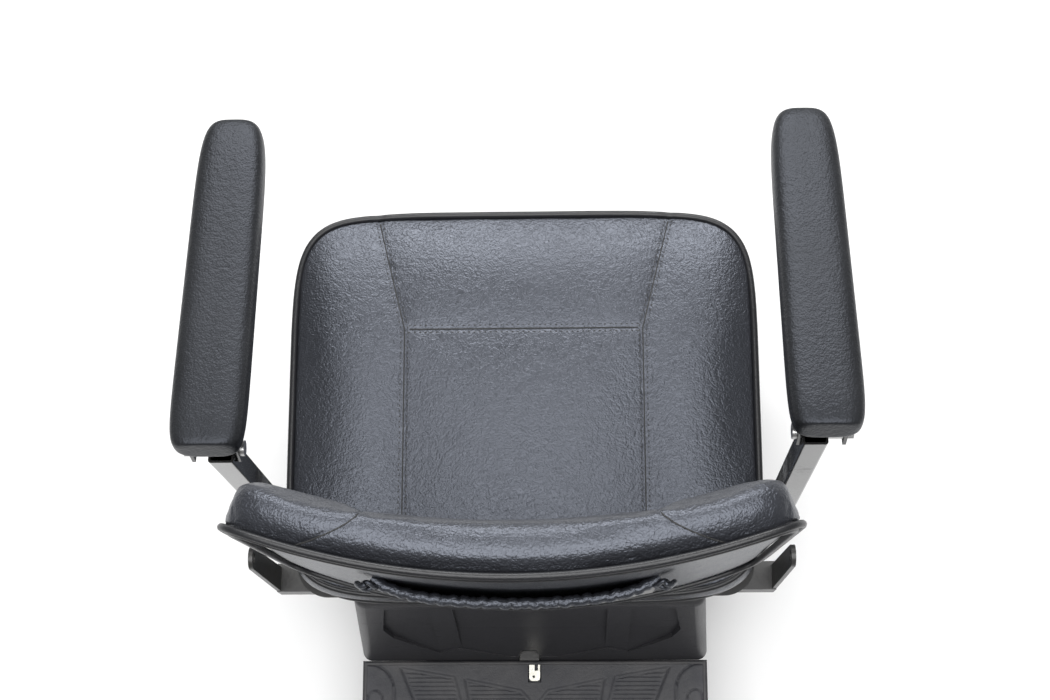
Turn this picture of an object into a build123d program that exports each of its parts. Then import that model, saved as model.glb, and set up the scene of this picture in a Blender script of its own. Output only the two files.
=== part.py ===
from build123d import *
from math import cos, radians, sin, sqrt, tan
import os

# A four-wheeled mobility scooter, in millimetres. Z is up and the ground is Z = 0. The scooter
# drives towards -Y. The seat is swivelled half a turn, so the person on it would face +Y.
# Places along the scooter are measured from the seat post's axis and named ..._Y.

# ---- driving dimensions -------------------------------------------------------------------
LENGTH = 1065.0  # overall, nose to rear bumper
REAR_REACH = 255.0  # seat post axis to the back of the bumper
POST_Y = LENGTH / 2 - REAR_REACH  # seat post axis from the middle of the length
GAP = 0.3  # between pieces that move past each other or are soft
FIT = 0.05  # radial clearance of a shaft in its bore
WALL = 3.0  # moulded plastic covers
TUBE = 25.0  # square frame tube
TUBE_WALL = 2.0

REAR_WHEEL_R = 105.0
REAR_WHEEL_Y = 95.0
REAR_TYRE_W = 54.0
REAR_TRACK_HALF = 240.0  # to the middle of the tyre
FRONT_WHEEL_R = 95.0
FRONT_WHEEL_Y = -690.0
FRONT_TYRE_W = 46.0
FRONT_TRACK_HALF = 218.0
TYRE_DEPTH = 34.0  # tread to bead
AXLE_R = 9.0
STUB_R = 7.0

RAIL_X = 120.0  # frame rails from the middle plane
REAR_RAIL_Z = 128.0  # underside of the rear frame's rails
FRONT_RAIL_Z = 85.0  # underside of the front frame's rails
SEAM_Y = -227.0  # where the floor meets the body
FLOOR_Z = 140.0  # top of the mat
FLOOR_HALF = 207.0
FLOOR_LENGTH = 320.0
MAT_T = 3.5
BODY_TOP_Z = 395.0
BODY_TOP_HALF = 188.0
BODY_FRONT_TOP_Y = -186.0
BODY_REAR_Y = 236.0

POST_TUBE_R = 25.0
POST_R = 21.0
POST_TUBE_TOP = 437.0
SWIVEL_Z = 486.0  # top of the swivel plate
BOARD_Z = 528.5  # underside of the seat board
BOARD_T = 6.0
CUSHION_TOP = 600.0
CUSHION_HALF = 238.0
CUSHION_FRONT_Y = 192.0
CUSHION_REAR_Y = -198.0

ARM_Y = -100.0  # receiver axis
ARM_Z = 513.0
ARM_TUBE = 22.0
ARM_CORNER = 2.5
ARM_TUBE_WALL = 2.0
ARM_X = 254.5  # middle of the upright
ARM_HEIGHT = 280.0  # receiver axis to the top of the upright
ARM_BEND = 30.0  # centreline radius of the elbow
ARM_LEG_IN = 80.0  # inner end of the leg from the middle plane
ARM_LEAN = {"left": 2.0, "right": 4.5}  # degrees forward, each receiver as welded
SEAT_SIDES = {"left": -1, "right": 1}
PAD_X = 262.0
PAD_LENGTH = 328.0
PAD_WIDTH = 63.4
PAD_T = 34.0
PAD_SLOPE = 10.65  # degrees, nose down, from square to the upright
PAD_REAR_Z = 325.0  # top of the pad's rear end above the receiver axis
BOLT_Y = 4.5
BOLT_Z = 268.0
BOLT_R = 4.0
RECEIVER = 28.0
RECEIVER_CLEARANCE = 0.3

RECLINE = 2.0  # degrees
BACK_BASE_Y = -207.0  # rear face of the backrest, middle, at its lower edge
BACK_BASE_Z = 612.0
BACK_HEIGHT = 372.0
BACK_HALF = 227.0
BACK_SAG = 44.0  # how far the ends come forward of the middle
BACK_BOARD_T = 7.0
BACK_CUSHION_T = 30.0
HINGE_Y = -169.5
HINGE_Z = 680.0
HINGE_R = 5.0

PIVOT_Z = 240.0  # tiller tilt pivot above the ground
RAKE = 18.0  # tiller from upright, degrees
COLUMN_R = 17.0
COLUMN_TOP = 640.0  # along the column from the pivot
KINGPIN_X = 165.0
KINGPIN_R = 7.0
LINK_ARM = 60.0  # pitman arm and both knuckle arms
STEM_R = 12.0

SIDES = {"left": 1, "right": -1}  # of a person who faces the driving direction

os.makedirs("parts", exist_ok=True)


def side(x):
    """Side-view plane at x: sketch x runs along +Y from the post's axis, sketch y is up."""
    return Plane(origin=(x, POST_Y, 0), x_dir=(0, 1, 0), z_dir=(1, 0, 0))


def top(z):
    """Plan plane at height z, centred on the post's axis."""
    return Plane(origin=(0, POST_Y, z))


def face(y):
    """Front-view plane at y from the post: sketch x is X, sketch y is up, normal is -Y."""
    return Plane(origin=(0, POST_Y + y, 0), x_dir=(1, 0, 0), z_dir=(0, -1, 0))


def save(piece, name):
    piece.part.label = name
    export_step(piece.part, f"parts/{name}.step")


def at(x, y, z):
    """A place measured from the post's axis and the ground."""
    return (x, POST_Y + y, z)


def square_tube(size, wall, length, places, rotation=(0, 0, 0)):
    """Open square tubes of one length along X, added at the given places."""
    with Locations(*places):
        Box(length, size, size, rotation=rotation)
    with Locations(*places):
        Box(length + 1, size - 2 * wall, size - 2 * wall, rotation=rotation, mode=Mode.SUBTRACT)


# ---- frames -------------------------------------------------------------------------------
ALONG = (0, 0, 90)
LATCH_Y = -215.0  # the two frames meet face to face here
REAR_RAIL_MID = REAR_RAIL_Z + TUBE / 2
REAR_RAIL_END = BODY_REAR_Y + 2
REAR_RAIL_LENGTH = REAR_RAIL_END - LATCH_Y - TUBE
REAR_RAIL_Y = LATCH_Y + TUBE + REAR_RAIL_LENGTH / 2
CROSS_LENGTH = 2 * RAIL_X + TUBE
HANGER_T = 5.0
HANGER_X = 66.0
ANTI_TIP_Y = 218.0
ANTI_TIP_R = 25.0
ANTI_TIP_Z = ANTI_TIP_R + 12.0
ANTI_TIP_PIN_R = 5.0
ANTI_TIP_X = 90.0
ANTI_TIP_ARM_T = 6.0
FINGER_X = -6.0  # finger recess over the latch
FINGER_R = 13.0
LATCH_PIN_R = 1.5
LATCH_PIN_Y = SEAM_Y + 8.5
LATCH_PIN_Z = FLOOR_Z + 6
LUG_T = 3.0
LUG_X = FINGER_R + 2.0
LUG_FRONT = SEAM_Y + WALL + 2.5

with BuildPart() as rear_frame:
    square_tube(TUBE, TUBE_WALL, REAR_RAIL_LENGTH,
                [at(x, REAR_RAIL_Y, REAR_RAIL_MID) for x in (-RAIL_X, RAIL_X)], ALONG)
    square_tube(TUBE, TUBE_WALL, CROSS_LENGTH, [at(0, LATCH_Y + TUBE / 2, REAR_RAIL_MID)])
    with Locations(at(0, 0, REAR_RAIL_MID)):
        Box(2 * RAIL_X - TUBE, 2 * POST_TUBE_R + 20, TUBE)
    with BuildSketch(top(REAR_RAIL_Z)):
        Circle(POST_TUBE_R)
    extrude(amount=TUBE, mode=Mode.SUBTRACT)
    BRIDGE = RAIL_X - TUBE / 2 - HANGER_X + HANGER_T / 2
    with Locations(*[at(s * (RAIL_X - TUBE / 2 - BRIDGE / 2), REAR_WHEEL_Y, REAR_RAIL_MID)
                     for s in (-1, 1)]):
        Box(BRIDGE, 40, TUBE)
    with Locations(*[at(x, REAR_WHEEL_Y, (REAR_RAIL_Z + REAR_WHEEL_R - 20) / 2)
                     for x in (-HANGER_X, HANGER_X)]):
        Box(HANGER_T, 40, REAR_RAIL_Z - REAR_WHEEL_R + 20)
    with BuildSketch(side(-RAIL_X)):
        with Locations((REAR_WHEEL_Y, REAR_WHEEL_R)):
            Circle(AXLE_R + FIT)
    extrude(amount=2 * RAIL_X, mode=Mode.SUBTRACT)
    with Locations(at(0, LATCH_Y + HANGER_T / 2, (REAR_RAIL_Z + FRONT_RAIL_Z) / 2)):
        Box(CROSS_LENGTH, HANGER_T, REAR_RAIL_Z - FRONT_RAIL_Z)
    # arms that carry the anti-tip wheels
    for s in (-1, 1):
        with BuildSketch(side(s * (RAIL_X - TUBE / 2) - (0 if s < 0 else ANTI_TIP_ARM_T))):
            with BuildLine():
                Polyline((ANTI_TIP_Y - 60, REAR_RAIL_Z), (ANTI_TIP_Y + 12, REAR_RAIL_Z),
                         (ANTI_TIP_Y + 12, ANTI_TIP_Z - 11), (ANTI_TIP_Y - 12, ANTI_TIP_Z - 11),
                         (ANTI_TIP_Y - 14, ANTI_TIP_Z + 30), (ANTI_TIP_Y - 60, REAR_RAIL_Z))
            make_face()
        extrude(amount=ANTI_TIP_ARM_T)
        with Locations(at(s * (RAIL_X - ANTI_TIP_ARM_T), ANTI_TIP_Y - 24, REAR_RAIL_Z - 2)):
            Box(TUBE - 1, 72, 4)
    with BuildSketch(side(-RAIL_X)):
        with Locations((ANTI_TIP_Y, ANTI_TIP_Z)):
            Circle(ANTI_TIP_PIN_R)
    extrude(amount=2 * RAIL_X)
    # ears that carry the latch lever's pin
    with Locations(*[at(FINGER_X + s * LUG_X, (LUG_FRONT + LATCH_Y) / 2, LATCH_PIN_Z)
                     for s in (-1, 1)]):
        Box(LUG_T, LATCH_Y - LUG_FRONT, 10)
    with BuildSketch(side(FINGER_X - 30)):
        with Locations((LATCH_PIN_Y, LATCH_PIN_Z)):
            Circle(LATCH_PIN_R + FIT)
    extrude(amount=60, mode=Mode.SUBTRACT)
save(rear_frame, "rear_frame")

FRONT_RAIL_MID = FRONT_RAIL_Z + TUBE / 2
FRONT_RAIL_START = -590.0
FRONT_RAIL_LENGTH = LATCH_Y - TUBE - FRONT_RAIL_START
SLEEVE_R = 15.0
BEAM_LOW = FRONT_RAIL_Z - 5
HEAD_R = 21.0
HEAD_TOP = 205.0
HEAD_LOW = FRONT_RAIL_Z - 10
BEAM = 30.0
BEAM_MID = BEAM_LOW + BEAM / 2

with BuildPart() as front_frame:
    square_tube(TUBE, TUBE_WALL, FRONT_RAIL_LENGTH,
                [at(x, FRONT_RAIL_START + FRONT_RAIL_LENGTH / 2, FRONT_RAIL_MID)
                 for x in (-RAIL_X + TUBE, RAIL_X - TUBE)], ALONG)
    square_tube(TUBE, TUBE_WALL, CROSS_LENGTH, [at(0, LATCH_Y - TUBE / 2, FRONT_RAIL_MID)])
    with Locations(at(0, FRONT_RAIL_START, FRONT_RAIL_MID)):
        Box(2 * RAIL_X - TUBE, TUBE, TUBE)
    with Locations(at(0, (FRONT_RAIL_START + FRONT_WHEEL_Y) / 2, FRONT_RAIL_MID)):
        Box(40, FRONT_RAIL_START - FRONT_WHEEL_Y, TUBE)
    with Locations(at(0, FRONT_WHEEL_Y, BEAM_MID)):
        Box(2 * KINGPIN_X, BEAM, BEAM)
    with BuildSketch(top(BEAM_LOW - 5)):
        with Locations(*[(s * KINGPIN_X, FRONT_WHEEL_Y) for s in (-1, 1)]):
            Circle(SLEEVE_R)
    extrude(amount=BEAM + 10)
    with BuildSketch(top(HEAD_LOW)):
        with Locations((0, FRONT_WHEEL_Y)):
            Circle(HEAD_R)
    extrude(amount=HEAD_TOP - HEAD_LOW)
    with BuildSketch(side(-4)):
        with BuildLine():
            Polyline((FRONT_RAIL_START, FRONT_RAIL_Z + TUBE), (FRONT_WHEEL_Y, FRONT_RAIL_Z + TUBE),
                     (FRONT_WHEEL_Y, HEAD_TOP - 20), (FRONT_RAIL_START, FRONT_RAIL_Z + TUBE))
        make_face()
    extrude(amount=8)
    with BuildSketch(top(HEAD_LOW)):
        with Locations((0, FRONT_WHEEL_Y)):
            Circle(STEM_R + FIT)
    extrude(amount=HEAD_TOP - HEAD_LOW, mode=Mode.SUBTRACT)
    with BuildSketch(top(BEAM_LOW - 5)):
        with Locations(*[(s * KINGPIN_X, FRONT_WHEEL_Y) for s in (-1, 1)]):
            Circle(KINGPIN_R + FIT)
    extrude(amount=BEAM + 10, mode=Mode.SUBTRACT)
save(front_frame, "front_frame")

# ---- floor --------------------------------------------------------------------------------
PAN_Z = FRONT_RAIL_Z + TUBE
PAN_TOP = FLOOR_Z - MAT_T
FLOOR_FRONT = SEAM_Y - FLOOR_LENGTH
FLOOR_MID = (SEAM_Y + FLOOR_FRONT) / 2
FLOOR_CORNER = 40.0
PAN_RIM = 5.0  # edge of the pan outside the mat

with BuildPart() as floor_pan:
    with BuildSketch(top(PAN_Z)):
        with Locations((0, FLOOR_MID)):
            Rectangle(2 * FLOOR_HALF, FLOOR_LENGTH)
        fillet(vertices().group_by(Axis.Y)[0], FLOOR_CORNER)
    extrude(amount=PAN_TOP - PAN_Z + MAT_T - 1)
    fillet(faces().sort_by(Axis.Z)[-1].edges(), 3)
    with BuildSketch(top(PAN_TOP)):
        with Locations((0, FLOOR_MID)):
            Rectangle(2 * (FLOOR_HALF - PAN_RIM), FLOOR_LENGTH - 2 * PAN_RIM)
        fillet(vertices().group_by(Axis.Y)[0], FLOOR_CORNER - PAN_RIM)
    extrude(amount=MAT_T, mode=Mode.SUBTRACT)
    RAIL_GAP = RAIL_X - TUBE
    POCKET_SIDE = FLOOR_HALF - 8 - (RAIL_GAP + 18)
    with BuildSketch(top(PAN_Z)):
        with Locations((0, FLOOR_MID - 10)):
            Rectangle(2 * (RAIL_GAP - 18), FLOOR_LENGTH - 110)
        with Locations(*[(s * (RAIL_GAP + 18 + POCKET_SIDE / 2), FLOOR_MID - 10) for s in (-1, 1)]):
            Rectangle(POCKET_SIDE, FLOOR_LENGTH - 110)
    extrude(amount=PAN_TOP - PAN_Z - 4, mode=Mode.SUBTRACT)
save(floor_pan, "floor_pan")

MAT_EDGE = PAN_RIM + 0.4
HOOK_LENGTH = 19.0  # the hook plate lies in a notch in the mat's rear edge
HOOK_W = 13.0
HOOK_T = MAT_T + 1.0
HOOK_REAR_Y = SEAM_Y - PAN_RIM - 0.5
with BuildPart() as floor_mat:
    with BuildSketch(top(PAN_TOP)):
        with Locations((0, FLOOR_MID)):
            Rectangle(2 * (FLOOR_HALF - MAT_EDGE), FLOOR_LENGTH - 2 * MAT_EDGE)
        fillet(vertices().group_by(Axis.Y)[0], FLOOR_CORNER - MAT_EDGE)
        with Locations((0, HOOK_REAR_Y - HOOK_LENGTH / 2)):
            Rectangle(HOOK_W + 1, HOOK_LENGTH + 1, mode=Mode.SUBTRACT)
    extrude(amount=MAT_T)
save(floor_mat, "floor_mat")

# ---- body cover ---------------------------------------------------------------------------
BODY_LOW_Z = PAN_TOP + 1
RECESS_DEPTH = 6.0
RECESS_TOP = 244.0  # heights of the recess are measured up the panel from its lower edge
CREASE = 143.0  # below the crease the recess slopes out to the panel's face
RECESS_SIDE = [(28, 20), (88, 59), (111, 42), (135, 77), (159, 116), (167, 152), (157, RECESS_TOP)]
RECESS_LIP = 0.5  # how deep the slope still is at the recess's lowest point
BAR_X = 97.0  # the two upright bars that cross the recess
BAR_W = 26.0
BAR_SET_BACK = 2.0
BACKING_X = 171.0
BACKING_LOW = 20.0
FINGER_DEPTH = 46.0
FENDER_R = REAR_WHEEL_R + 14.0
FENDER_T = 4.0
FENDER_OUT = REAR_TRACK_HALF + REAR_TYRE_W / 2 + 4
ARCH_IN = REAR_TRACK_HALF - REAR_TYRE_W / 2 - 4


def body_section(z, half, front, rear, corner):
    """One plan outline of the body cover at height z."""
    with BuildSketch(top(z)) as outline:
        with Locations((0, (front + rear) / 2)):
            RectangleRounded(2 * half, rear - front, corner)
    return outline.sketch


LOW_OUTLINE = body_section(BODY_LOW_Z, FLOOR_HALF, SEAM_Y, BODY_REAR_Y, 12)
HIGH_OUTLINE = body_section(BODY_TOP_Z, BODY_TOP_HALF, BODY_FRONT_TOP_Y, BODY_REAR_Y - 14, 12)
LOW_INSIDE = body_section(BODY_LOW_Z - 1, FLOOR_HALF - WALL, SEAM_Y + WALL, BODY_REAR_Y - WALL, 9)
HIGH_INSIDE = body_section(BODY_TOP_Z - WALL, BODY_TOP_HALF - WALL, BODY_FRONT_TOP_Y + WALL,
                           BODY_REAR_Y - 14 - WALL, 9)

def panel_recess(panel):
    """The space cut from the front panel: deep above the crease, sloping out below it, with two bars."""
    outline = RECESS_SIDE + [(-x, h) for x, h in reversed(RECESS_SIDE)]
    with BuildSketch(panel.offset(-RECESS_DEPTH)) as shape:
        with BuildLine():
            Polyline(*outline, close=True)
        make_face()
    with BuildPart() as space:
        extrude(shape.sketch, amount=RECESS_DEPTH + 12)
        fall = RECESS_DEPTH - RECESS_LIP
        up_slope = (panel.y_dir * (CREASE - RECESS_SIDE[0][1]) - panel.z_dir * fall).normalized()
        slope = Plane(origin=panel.from_local_coords(Vector(0, CREASE, -RECESS_DEPTH)),
                      x_dir=(1, 0, 0), z_dir=Vector(1, 0, 0).cross(up_slope))
        with BuildSketch(slope):
            with Locations((0, -CREASE)):
                Rectangle(2 * BODY_TOP_HALF, 2 * CREASE)
        extrude(amount=-20, mode=Mode.SUBTRACT)
        with BuildSketch(panel.offset(-RECESS_DEPTH - 1)):
            with Locations(*[(s * BAR_X, RECESS_TOP / 2) for s in (-1, 1)]):
                Rectangle(BAR_W, RECESS_TOP + 10)
        extrude(amount=RECESS_DEPTH + 1 - BAR_SET_BACK, mode=Mode.SUBTRACT)
    return space.part


with BuildPart() as body_cover:
    loft([LOW_OUTLINE, HIGH_OUTLINE])
    fillet(body_cover.faces().sort_by(Axis.Z)[-1].edges(), 11)
    for s in (-1, 1):
        with BuildSketch(side(s * ARCH_IN)):
            with Locations((REAR_WHEEL_Y, REAR_WHEEL_R)):
                Circle(FENDER_R + FENDER_T)
            with Locations((REAR_WHEEL_Y, REAR_WHEEL_R - 400 + BODY_LOW_Z - REAR_WHEEL_R)):
                Rectangle(800, 800, mode=Mode.SUBTRACT)
        extrude(amount=s * (FENDER_OUT - ARCH_IN))
    loft([LOW_INSIDE, HIGH_INSIDE], mode=Mode.SUBTRACT)
    for s in (-1, 1):
        with BuildSketch(side(s * (ARCH_IN - WALL))):
            with Locations((REAR_WHEEL_Y, REAR_WHEEL_R)):
                Circle(FENDER_R + FENDER_T)
            with Locations((REAR_WHEEL_Y, REAR_WHEEL_R - 400 + BODY_LOW_Z - REAR_WHEEL_R)):
                Rectangle(800, 800, mode=Mode.SUBTRACT)
        extrude(amount=s * 20)
        with BuildSketch(side(s * ARCH_IN)):
            with Locations((REAR_WHEEL_Y, REAR_WHEEL_R)):
                Circle(FENDER_R)
        extrude(amount=s * (FENDER_OUT - ARCH_IN + 1), mode=Mode.SUBTRACT)
    with BuildSketch(top(BODY_TOP_Z - 50)):
        Circle(POST_TUBE_R + 1)
    extrude(amount=60, mode=Mode.SUBTRACT)
    # the shallow panel recess on the front, its plane following the sloping front
    PANEL_LEAN = (BODY_FRONT_TOP_Y - SEAM_Y) / (BODY_TOP_Z - BODY_LOW_Z)
    PANEL = Plane(origin=at(0, SEAM_Y, BODY_LOW_Z), x_dir=(1, 0, 0),
                  z_dir=Vector(0, -1, PANEL_LEAN).normalized())
    with BuildSketch(PANEL.offset(-RECESS_DEPTH - WALL)):
        with Locations((0, (BACKING_LOW + RECESS_TOP + WALL) / 2)):
            Rectangle(2 * BACKING_X, RECESS_TOP + WALL - BACKING_LOW)
    extrude(amount=RECESS_DEPTH + WALL - 1)
    add(panel_recess(PANEL), mode=Mode.SUBTRACT)
    with BuildSketch(top(BODY_LOW_Z - 1)):
        with Locations((FINGER_X, SEAM_Y)):
            Circle(FINGER_R)
    extrude(amount=FINGER_DEPTH, mode=Mode.SUBTRACT)
    with Locations(*[at(s * RAIL_X, BODY_REAR_Y - WALL, REAR_RAIL_MID) for s in (-1, 1)]):
        Box(TUBE + 2, 4 * WALL, TUBE + 2, mode=Mode.SUBTRACT)
save(body_cover, "body_cover")

# ---- rear bumper, lights, anti-tip wheels --------------------------------------------------
BUMPER_T = 14.0
BUMPER_BACK = REAR_REACH - 3.0
BUMPER_LOW = 122.0
BUMPER_HIGH = 178.0
BUMPER_HALF = 196.0
LAMP_X = 150.0

with BuildPart() as rear_bumper:
    with BuildSketch(face(REAR_RAIL_END)):
        with Locations((0, (BUMPER_LOW + BUMPER_HIGH) / 2)):
            RectangleRounded(2 * BUMPER_HALF, BUMPER_HIGH - BUMPER_LOW, 20)
    extrude(amount=-(BUMPER_BACK - REAR_RAIL_END))
    fillet(rear_bumper.faces().sort_by(Axis.Y)[-1].edges(), 5)
save(rear_bumper, "rear_bumper")

with BuildPart() as tail_lights:
    with BuildSketch(face(BUMPER_BACK)):
        with Locations(*[(s * LAMP_X, (BUMPER_LOW + BUMPER_HIGH) / 2) for s in (-1, 1)]):
            RectangleRounded(60, 26, 12)
    extrude(amount=-(REAR_REACH - BUMPER_BACK))
save(tail_lights, "tail_lights")

ANTI_TIP_W = 20.0
with BuildPart() as anti_tip_wheels:
    for s in (-1, 1):
        with BuildSketch(side(s * ANTI_TIP_X - ANTI_TIP_W / 2)):
            with Locations((ANTI_TIP_Y, ANTI_TIP_Z)):
                Circle(ANTI_TIP_R)
                Circle(ANTI_TIP_PIN_R + FIT, mode=Mode.SUBTRACT)
        extrude(amount=ANTI_TIP_W)
    fillet(anti_tip_wheels.edges().filter_by(GeomType.CIRCLE)
           .filter_by(lambda e: e.radius > ANTI_TIP_R - 1), 4)
save(anti_tip_wheels, "anti_tip_wheels")

# ---- battery and electrics ----------------------------------------------------------------
BATTERY_Z = REAR_RAIL_Z + TUBE
BATTERY_FRONT = -176.0
BATTERY_REAR = -46.0
BATTERY_HALF = 140.0
BATTERY_H = 165.0
BATTERY_TOP = BATTERY_Z + BATTERY_H
BATTERY_MID = (BATTERY_FRONT + BATTERY_REAR) / 2
HANDLE_R = 5.0
HANDLE_HALF = 60.0
HANDLE_Z = BATTERY_TOP + 9

with BuildPart() as battery_pack:
    with Locations(at(0, BATTERY_MID, BATTERY_Z + BATTERY_H / 2)):
        Box(2 * BATTERY_HALF, BATTERY_REAR - BATTERY_FRONT, BATTERY_H)
    fillet(battery_pack.edges().filter_by(Axis.Z), 12)
    fillet(battery_pack.faces().sort_by(Axis.Z)[-1].edges(), 5)
    with Locations(*[at(s * (HANDLE_HALF + HANDLE_R + 8), BATTERY_MID, BATTERY_TOP + 8)
                     for s in (-1, 1)]):
        Box(12, 20, 18)
    with BuildSketch(side(-BATTERY_HALF)):
        with Locations((BATTERY_MID, HANDLE_Z)):
            Circle(HANDLE_R - 1 + FIT)
    extrude(amount=2 * BATTERY_HALF, mode=Mode.SUBTRACT)
save(battery_pack, "battery_pack")

HANDLE_REACH = 42.0
with BuildPart() as battery_handle:
    with Locations(*[at(s * HANDLE_HALF, BATTERY_MID - HANDLE_REACH / 2, HANDLE_Z) for s in (-1, 1)]):
        Box(2 * HANDLE_R, HANDLE_REACH + 2 * HANDLE_R, 2 * HANDLE_R)
    with Locations(at(0, BATTERY_MID - HANDLE_REACH, HANDLE_Z)):
        Box(2 * HANDLE_HALF, 2 * HANDLE_R, 2 * HANDLE_R)
    fillet(battery_handle.edges().filter_by(Axis.X), 2.5)
    with BuildSketch(side(-HANDLE_HALF - 18)):
        with Locations((BATTERY_MID, HANDLE_Z)):
            Circle(HANDLE_R - 1)
    extrude(amount=18)
    with BuildSketch(side(HANDLE_HALF)):
        with Locations((BATTERY_MID, HANDLE_Z)):
            Circle(HANDLE_R - 1)
    extrude(amount=18)
save(battery_handle, "battery_handle")

with BuildPart() as controller:
    with Locations(at(0, REAR_RAIL_END - 62, BATTERY_Z + 25)):
        Box(2 * RAIL_X + 10, 90, 50)
    fillet(controller.edges().filter_by(Axis.Z), 4)
    with Locations(*[at(0, REAR_RAIL_END - 62 + 9 * i, BATTERY_Z + 53) for i in range(-4, 5)]):
        Box(2 * RAIL_X - 10, 3, 6)
save(controller, "controller")

# ---- drive --------------------------------------------------------------------------------
GEAR_R = 50.0
PINION_R = 10.0
GEAR_T = 14.0
MESH = 0.2  # tip clearance between gear and pinion
MOTOR_Y = REAR_WHEEL_Y + GEAR_R + PINION_R
GEAR_WALL = 4.0
GEAR_RATIO = GEAR_R / PINION_R
MOTOR_R = 34.0
MOTOR_LENGTH = 80.0
FREE_PIN_R = 4.0
FREE_PIN_DEPTH = 4.0
CASE_HALF = GEAR_T / 2 + 2 + GEAR_WALL
SHAFT_R = 5.0


def two_lobes(grow):
    """Side outline round the gear and the pinion, grown by the given amount."""
    with BuildSketch(side(0)) as outline:
        with Locations((REAR_WHEEL_Y, REAR_WHEEL_R)):
            Circle(GEAR_R + grow)
        with Locations((MOTOR_Y, REAR_WHEEL_R)):
            Circle(PINION_R + 12 + grow)
        make_hull()
    return outline.sketch


with BuildPart() as transaxle_case:
    extrude(two_lobes(4 + GEAR_WALL), amount=CASE_HALF, both=True)
    extrude(two_lobes(4), amount=CASE_HALF - GEAR_WALL, both=True, mode=Mode.SUBTRACT)
    with BuildSketch(side(-HANGER_X + HANGER_T / 2)):
        with Locations((REAR_WHEEL_Y, REAR_WHEEL_R)):
            Circle(AXLE_R + 8)
    extrude(amount=HANGER_X - HANGER_T / 2 - CASE_HALF)
    with BuildSketch(side(CASE_HALF)):
        with Locations((REAR_WHEEL_Y, REAR_WHEEL_R)):
            Circle(AXLE_R + 8)
    extrude(amount=HANGER_X - HANGER_T / 2 - CASE_HALF)
    with BuildSketch(side(-HANGER_X)):
        with Locations((REAR_WHEEL_Y, REAR_WHEEL_R)):
            Circle(AXLE_R + FIT)
    extrude(amount=2 * HANGER_X, mode=Mode.SUBTRACT)
    with BuildSketch(side(CASE_HALF - GEAR_WALL - 1)):
        with Locations((MOTOR_Y, REAR_WHEEL_R)):
            Circle(SHAFT_R + FIT)
    extrude(amount=GEAR_WALL + 2, mode=Mode.SUBTRACT)
save(transaxle_case, "transaxle_case")


with BuildPart() as drive_gear:
    gear_plane = Plane(origin=at(0, REAR_WHEEL_Y, REAR_WHEEL_R), x_dir=(0, 1, 0), z_dir=(1, 0, 0))
    with BuildSketch(gear_plane):
        Circle(GEAR_R - MESH / 2)
        with PolarLocations(GEAR_R, 50):
            Rectangle(5, 3, mode=Mode.SUBTRACT)
        Circle(AXLE_R, mode=Mode.SUBTRACT)
    extrude(amount=GEAR_T / 2, both=True)
save(drive_gear, "drive_gear")

with BuildPart() as motor_rotor:
    pinion_plane = Plane(origin=at(0, MOTOR_Y, REAR_WHEEL_R), x_dir=(0, 1, 0), z_dir=(1, 0, 0))
    with BuildSketch(pinion_plane):
        Circle(PINION_R - MESH / 2)
        with PolarLocations(PINION_R, 10):
            Rectangle(4, 3, mode=Mode.SUBTRACT)
    extrude(amount=GEAR_T / 2, both=True)
    with BuildSketch(pinion_plane.offset(GEAR_T / 2)):
        Circle(SHAFT_R)
    extrude(amount=CASE_HALF - GEAR_T / 2 + MOTOR_LENGTH - 12)
    with BuildSketch(pinion_plane.offset(CASE_HALF + 14)):
        Circle(MOTOR_R - 10)
    extrude(amount=MOTOR_LENGTH - 40)
save(motor_rotor, "motor_rotor")

with BuildPart() as motor_housing:
    with BuildSketch(pinion_plane.offset(CASE_HALF)):
        Circle(MOTOR_R)
    extrude(amount=MOTOR_LENGTH)
    fillet(motor_housing.faces().sort_by(Axis.X)[-1].edges(), 5)
    with BuildSketch(pinion_plane.offset(CASE_HALF + 8)):
        Circle(MOTOR_R - 8)
    extrude(amount=MOTOR_LENGTH - 28, mode=Mode.SUBTRACT)
    with BuildSketch(pinion_plane.offset(CASE_HALF)):
        Circle(SHAFT_R + FIT)
    extrude(amount=MOTOR_LENGTH - 8, mode=Mode.SUBTRACT)
    with BuildSketch(pinion_plane.offset(CASE_HALF + MOTOR_LENGTH - FREE_PIN_DEPTH)):
        Circle(FREE_PIN_R + FIT)
    extrude(amount=FREE_PIN_DEPTH, mode=Mode.SUBTRACT)
save(motor_housing, "motor_housing")

HUB_R = 20.0
NUT_T = 8.0
AXLE_HALF = REAR_TRACK_HALF + REAR_TYRE_W / 2
with BuildPart() as rear_axle:
    with BuildSketch(side(-AXLE_HALF)):
        with Locations((REAR_WHEEL_Y, REAR_WHEEL_R)):
            Circle(AXLE_R)
    extrude(amount=2 * AXLE_HALF)
save(rear_axle, "rear_axle")

# ---- wheels -------------------------------------------------------------------------------
SPOKES = 5
RIM_WALL = 5.0


def rim_profile(centre, radius, width, bore, hub_r):
    """Half section of a wheel rim, radius outwards and x across, for turning about the axle."""
    bead = radius - TYRE_DEPTH
    half = width / 2 - 6
    plane = Plane(origin=centre, x_dir=(0, 0, 1), z_dir=(0, 1, 0))
    with BuildSketch(plane) as section:
        with Locations(((bead - RIM_WALL / 2), 0)):
            Rectangle(RIM_WALL, 2 * half)
        with Locations(((bead + bore) / 2, 0)):
            Rectangle(bead - bore, 9)
        with Locations(((hub_r + bore) / 2, 0)):
            Rectangle(hub_r - bore, 2 * half - 4)
    return section.sketch


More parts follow.
